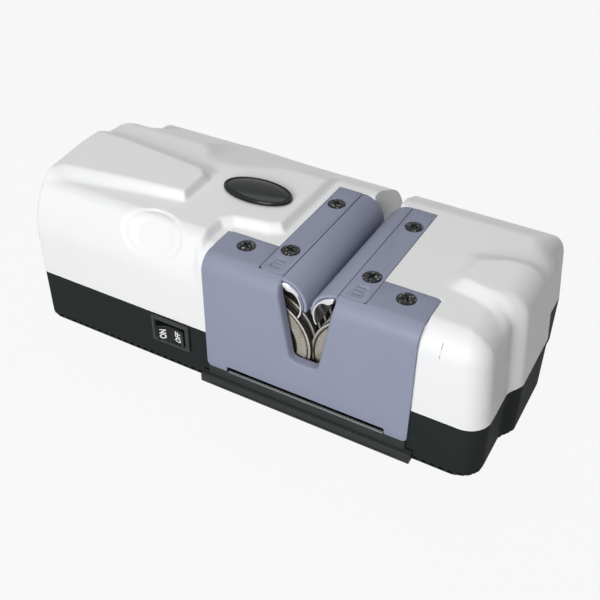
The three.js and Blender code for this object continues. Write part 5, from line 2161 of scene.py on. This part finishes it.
@dataclass
class Studio:
    """Camera at the photograph's angle, pale floor and soft lamps."""

    eye: Place = (0.1761, -0.3189, 0.3059)
    right: Place = (0.87353, 0.48670, 0.00822)
    up: Place = (-0.30567, 0.53532, 0.78740)
    back: Place = (0.37883, -0.69033, 0.61639)
    view: float = 36.831
    floor_half: float = 4000.0
    lamps: tuple[Lamp, ...] = (Lamp("key", (0.1, -1.15, 0.5), (0.0, 0.0, 0.04), 0.6, 13.9),
                               Lamp("top", (-0.25, 0.45, 1.15), (0.0, 0.0, 0.05), 0.8, 4.7))

    def camera(self) -> None:
        """Sets the camera."""
        data = bpy.data.cameras.new("camera")
        data.sensor_fit = "HORIZONTAL"
        data.angle = math.radians(self.view)
        data.clip_start = 0.01
        camera = add_object("camera", data)
        turn = Matrix((self.right, self.up, self.back)).transposed().to_4x4()
        camera.matrix_world = Matrix.Translation(self.eye) @ turn
        bpy.context.scene.camera = camera

    @staticmethod
    def seen_share(tree: bpy.types.NodeTree, factor: float) -> bpy.types.NodeSocket:
        """A share for the rays that see the backdrop: camera, glossy and transmission rays.

        Args:
            tree: The tree that gets the nodes.
            factor: The share for those rays.

        Returns:
            The socket with the share.
        """
        ray = tree.nodes.new("ShaderNodeLightPath")
        total = ray.outputs["Is Camera Ray"]
        for label in ("Is Glossy Ray", "Is Transmission Ray"):
            both = tree.nodes.new("ShaderNodeMath")
            both.operation = "ADD"
            both.use_clamp = True
            tree.links.new(total, both.inputs[0])
            tree.links.new(ray.outputs[label], both.inputs[1])
            total = both.outputs[0]
        share = tree.nodes.new("ShaderNodeMath")
        share.operation = "MULTIPLY"
        share.inputs[1].default_value = factor
        tree.links.new(total, share.inputs[0])
        return share.outputs[0]

    def backdrop(self, tree: bpy.types.NodeTree, output: str, kinds: Sequence[str], values: Sequence[dict],
                 factor: float) -> None:
        """Fills a tree with one shader for the light and one for the rays that see it.

        Args:
            tree: The tree.
            output: The type of its output node.
            kinds: The types of the two shaders.
            values: The two shaders' inputs.
            factor: The second one's share for the rays that see it.
        """
        tree.nodes.clear()
        mix = tree.nodes.new("ShaderNodeMixShader")
        tree.links.new(self.seen_share(tree, factor), mix.inputs[0])
        for place, (kind, inputs) in enumerate(zip(kinds, values), 1):
            shader = tree.nodes.new(kind)
            for key, value in inputs.items():
                shader.inputs[key].default_value = value
            tree.links.new(shader.outputs[0], mix.inputs[place])
        tree.links.new(mix.outputs[0], tree.nodes.new(output).inputs[0])

    def surroundings(self) -> None:
        """A white world for the rays that see it, and an even one for the light."""
        world = bpy.data.worlds.new("studio")
        world.use_nodes = True
        values = ({"Color": (1, 1, 1, 1), "Strength": 0.18},
                  {"Color": (0.94, 0.94, 0.94, 1), "Strength": 1.0})
        self.backdrop(world.node_tree, "ShaderNodeOutputWorld", ["ShaderNodeBackground"] * 2, values, 1.0)
        bpy.context.scene.world = world

    def floor(self) -> None:
        """A pale floor that keeps a faint shadow."""
        material = bpy.data.materials.new("studio_floor")
        material.use_nodes = True
        values = ({"Color": (0.26, 0.26, 0.26, 1)}, {"Color": (1, 1, 1, 1)})
        self.backdrop(material.node_tree, "ShaderNodeOutputMaterial",
                      ("ShaderNodeBsdfDiffuse", "ShaderNodeEmission"), values, 0.92)
        corners = np.array([(-1, -1, 0), (1, -1, 0), (1, 1, 0), (-1, 1, 0)]) * self.floor_half
        floor = make_object("studio_floor", corners, [(0, 1, 2, 3)])
        floor.data.materials.append(material)

    def build(self) -> None:
        """Builds the studio."""
        self.camera()
        self.surroundings()
        self.floor()
        for lamp in self.lamps:
            lamp.hang()
        bpy.context.scene.view_settings.view_transform = "Standard"


def main() -> None:
    """Builds every piece in order."""
    logging.basicConfig(level=logging.INFO, format="%(message)s", stream=sys.stdout)
    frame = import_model()
    Studio().build()
    coats = make_coats()
    for kind in (Cover, Base, BentPlate, Guides, Fasteners, Badge, Switch, Tray, Discs, Underside):
        kind(coats).build()
        LOG.info("%s made", kind.__name__)
    Works(coats, frame["nodes"]).build()


if __name__ == "__main__":
    main()
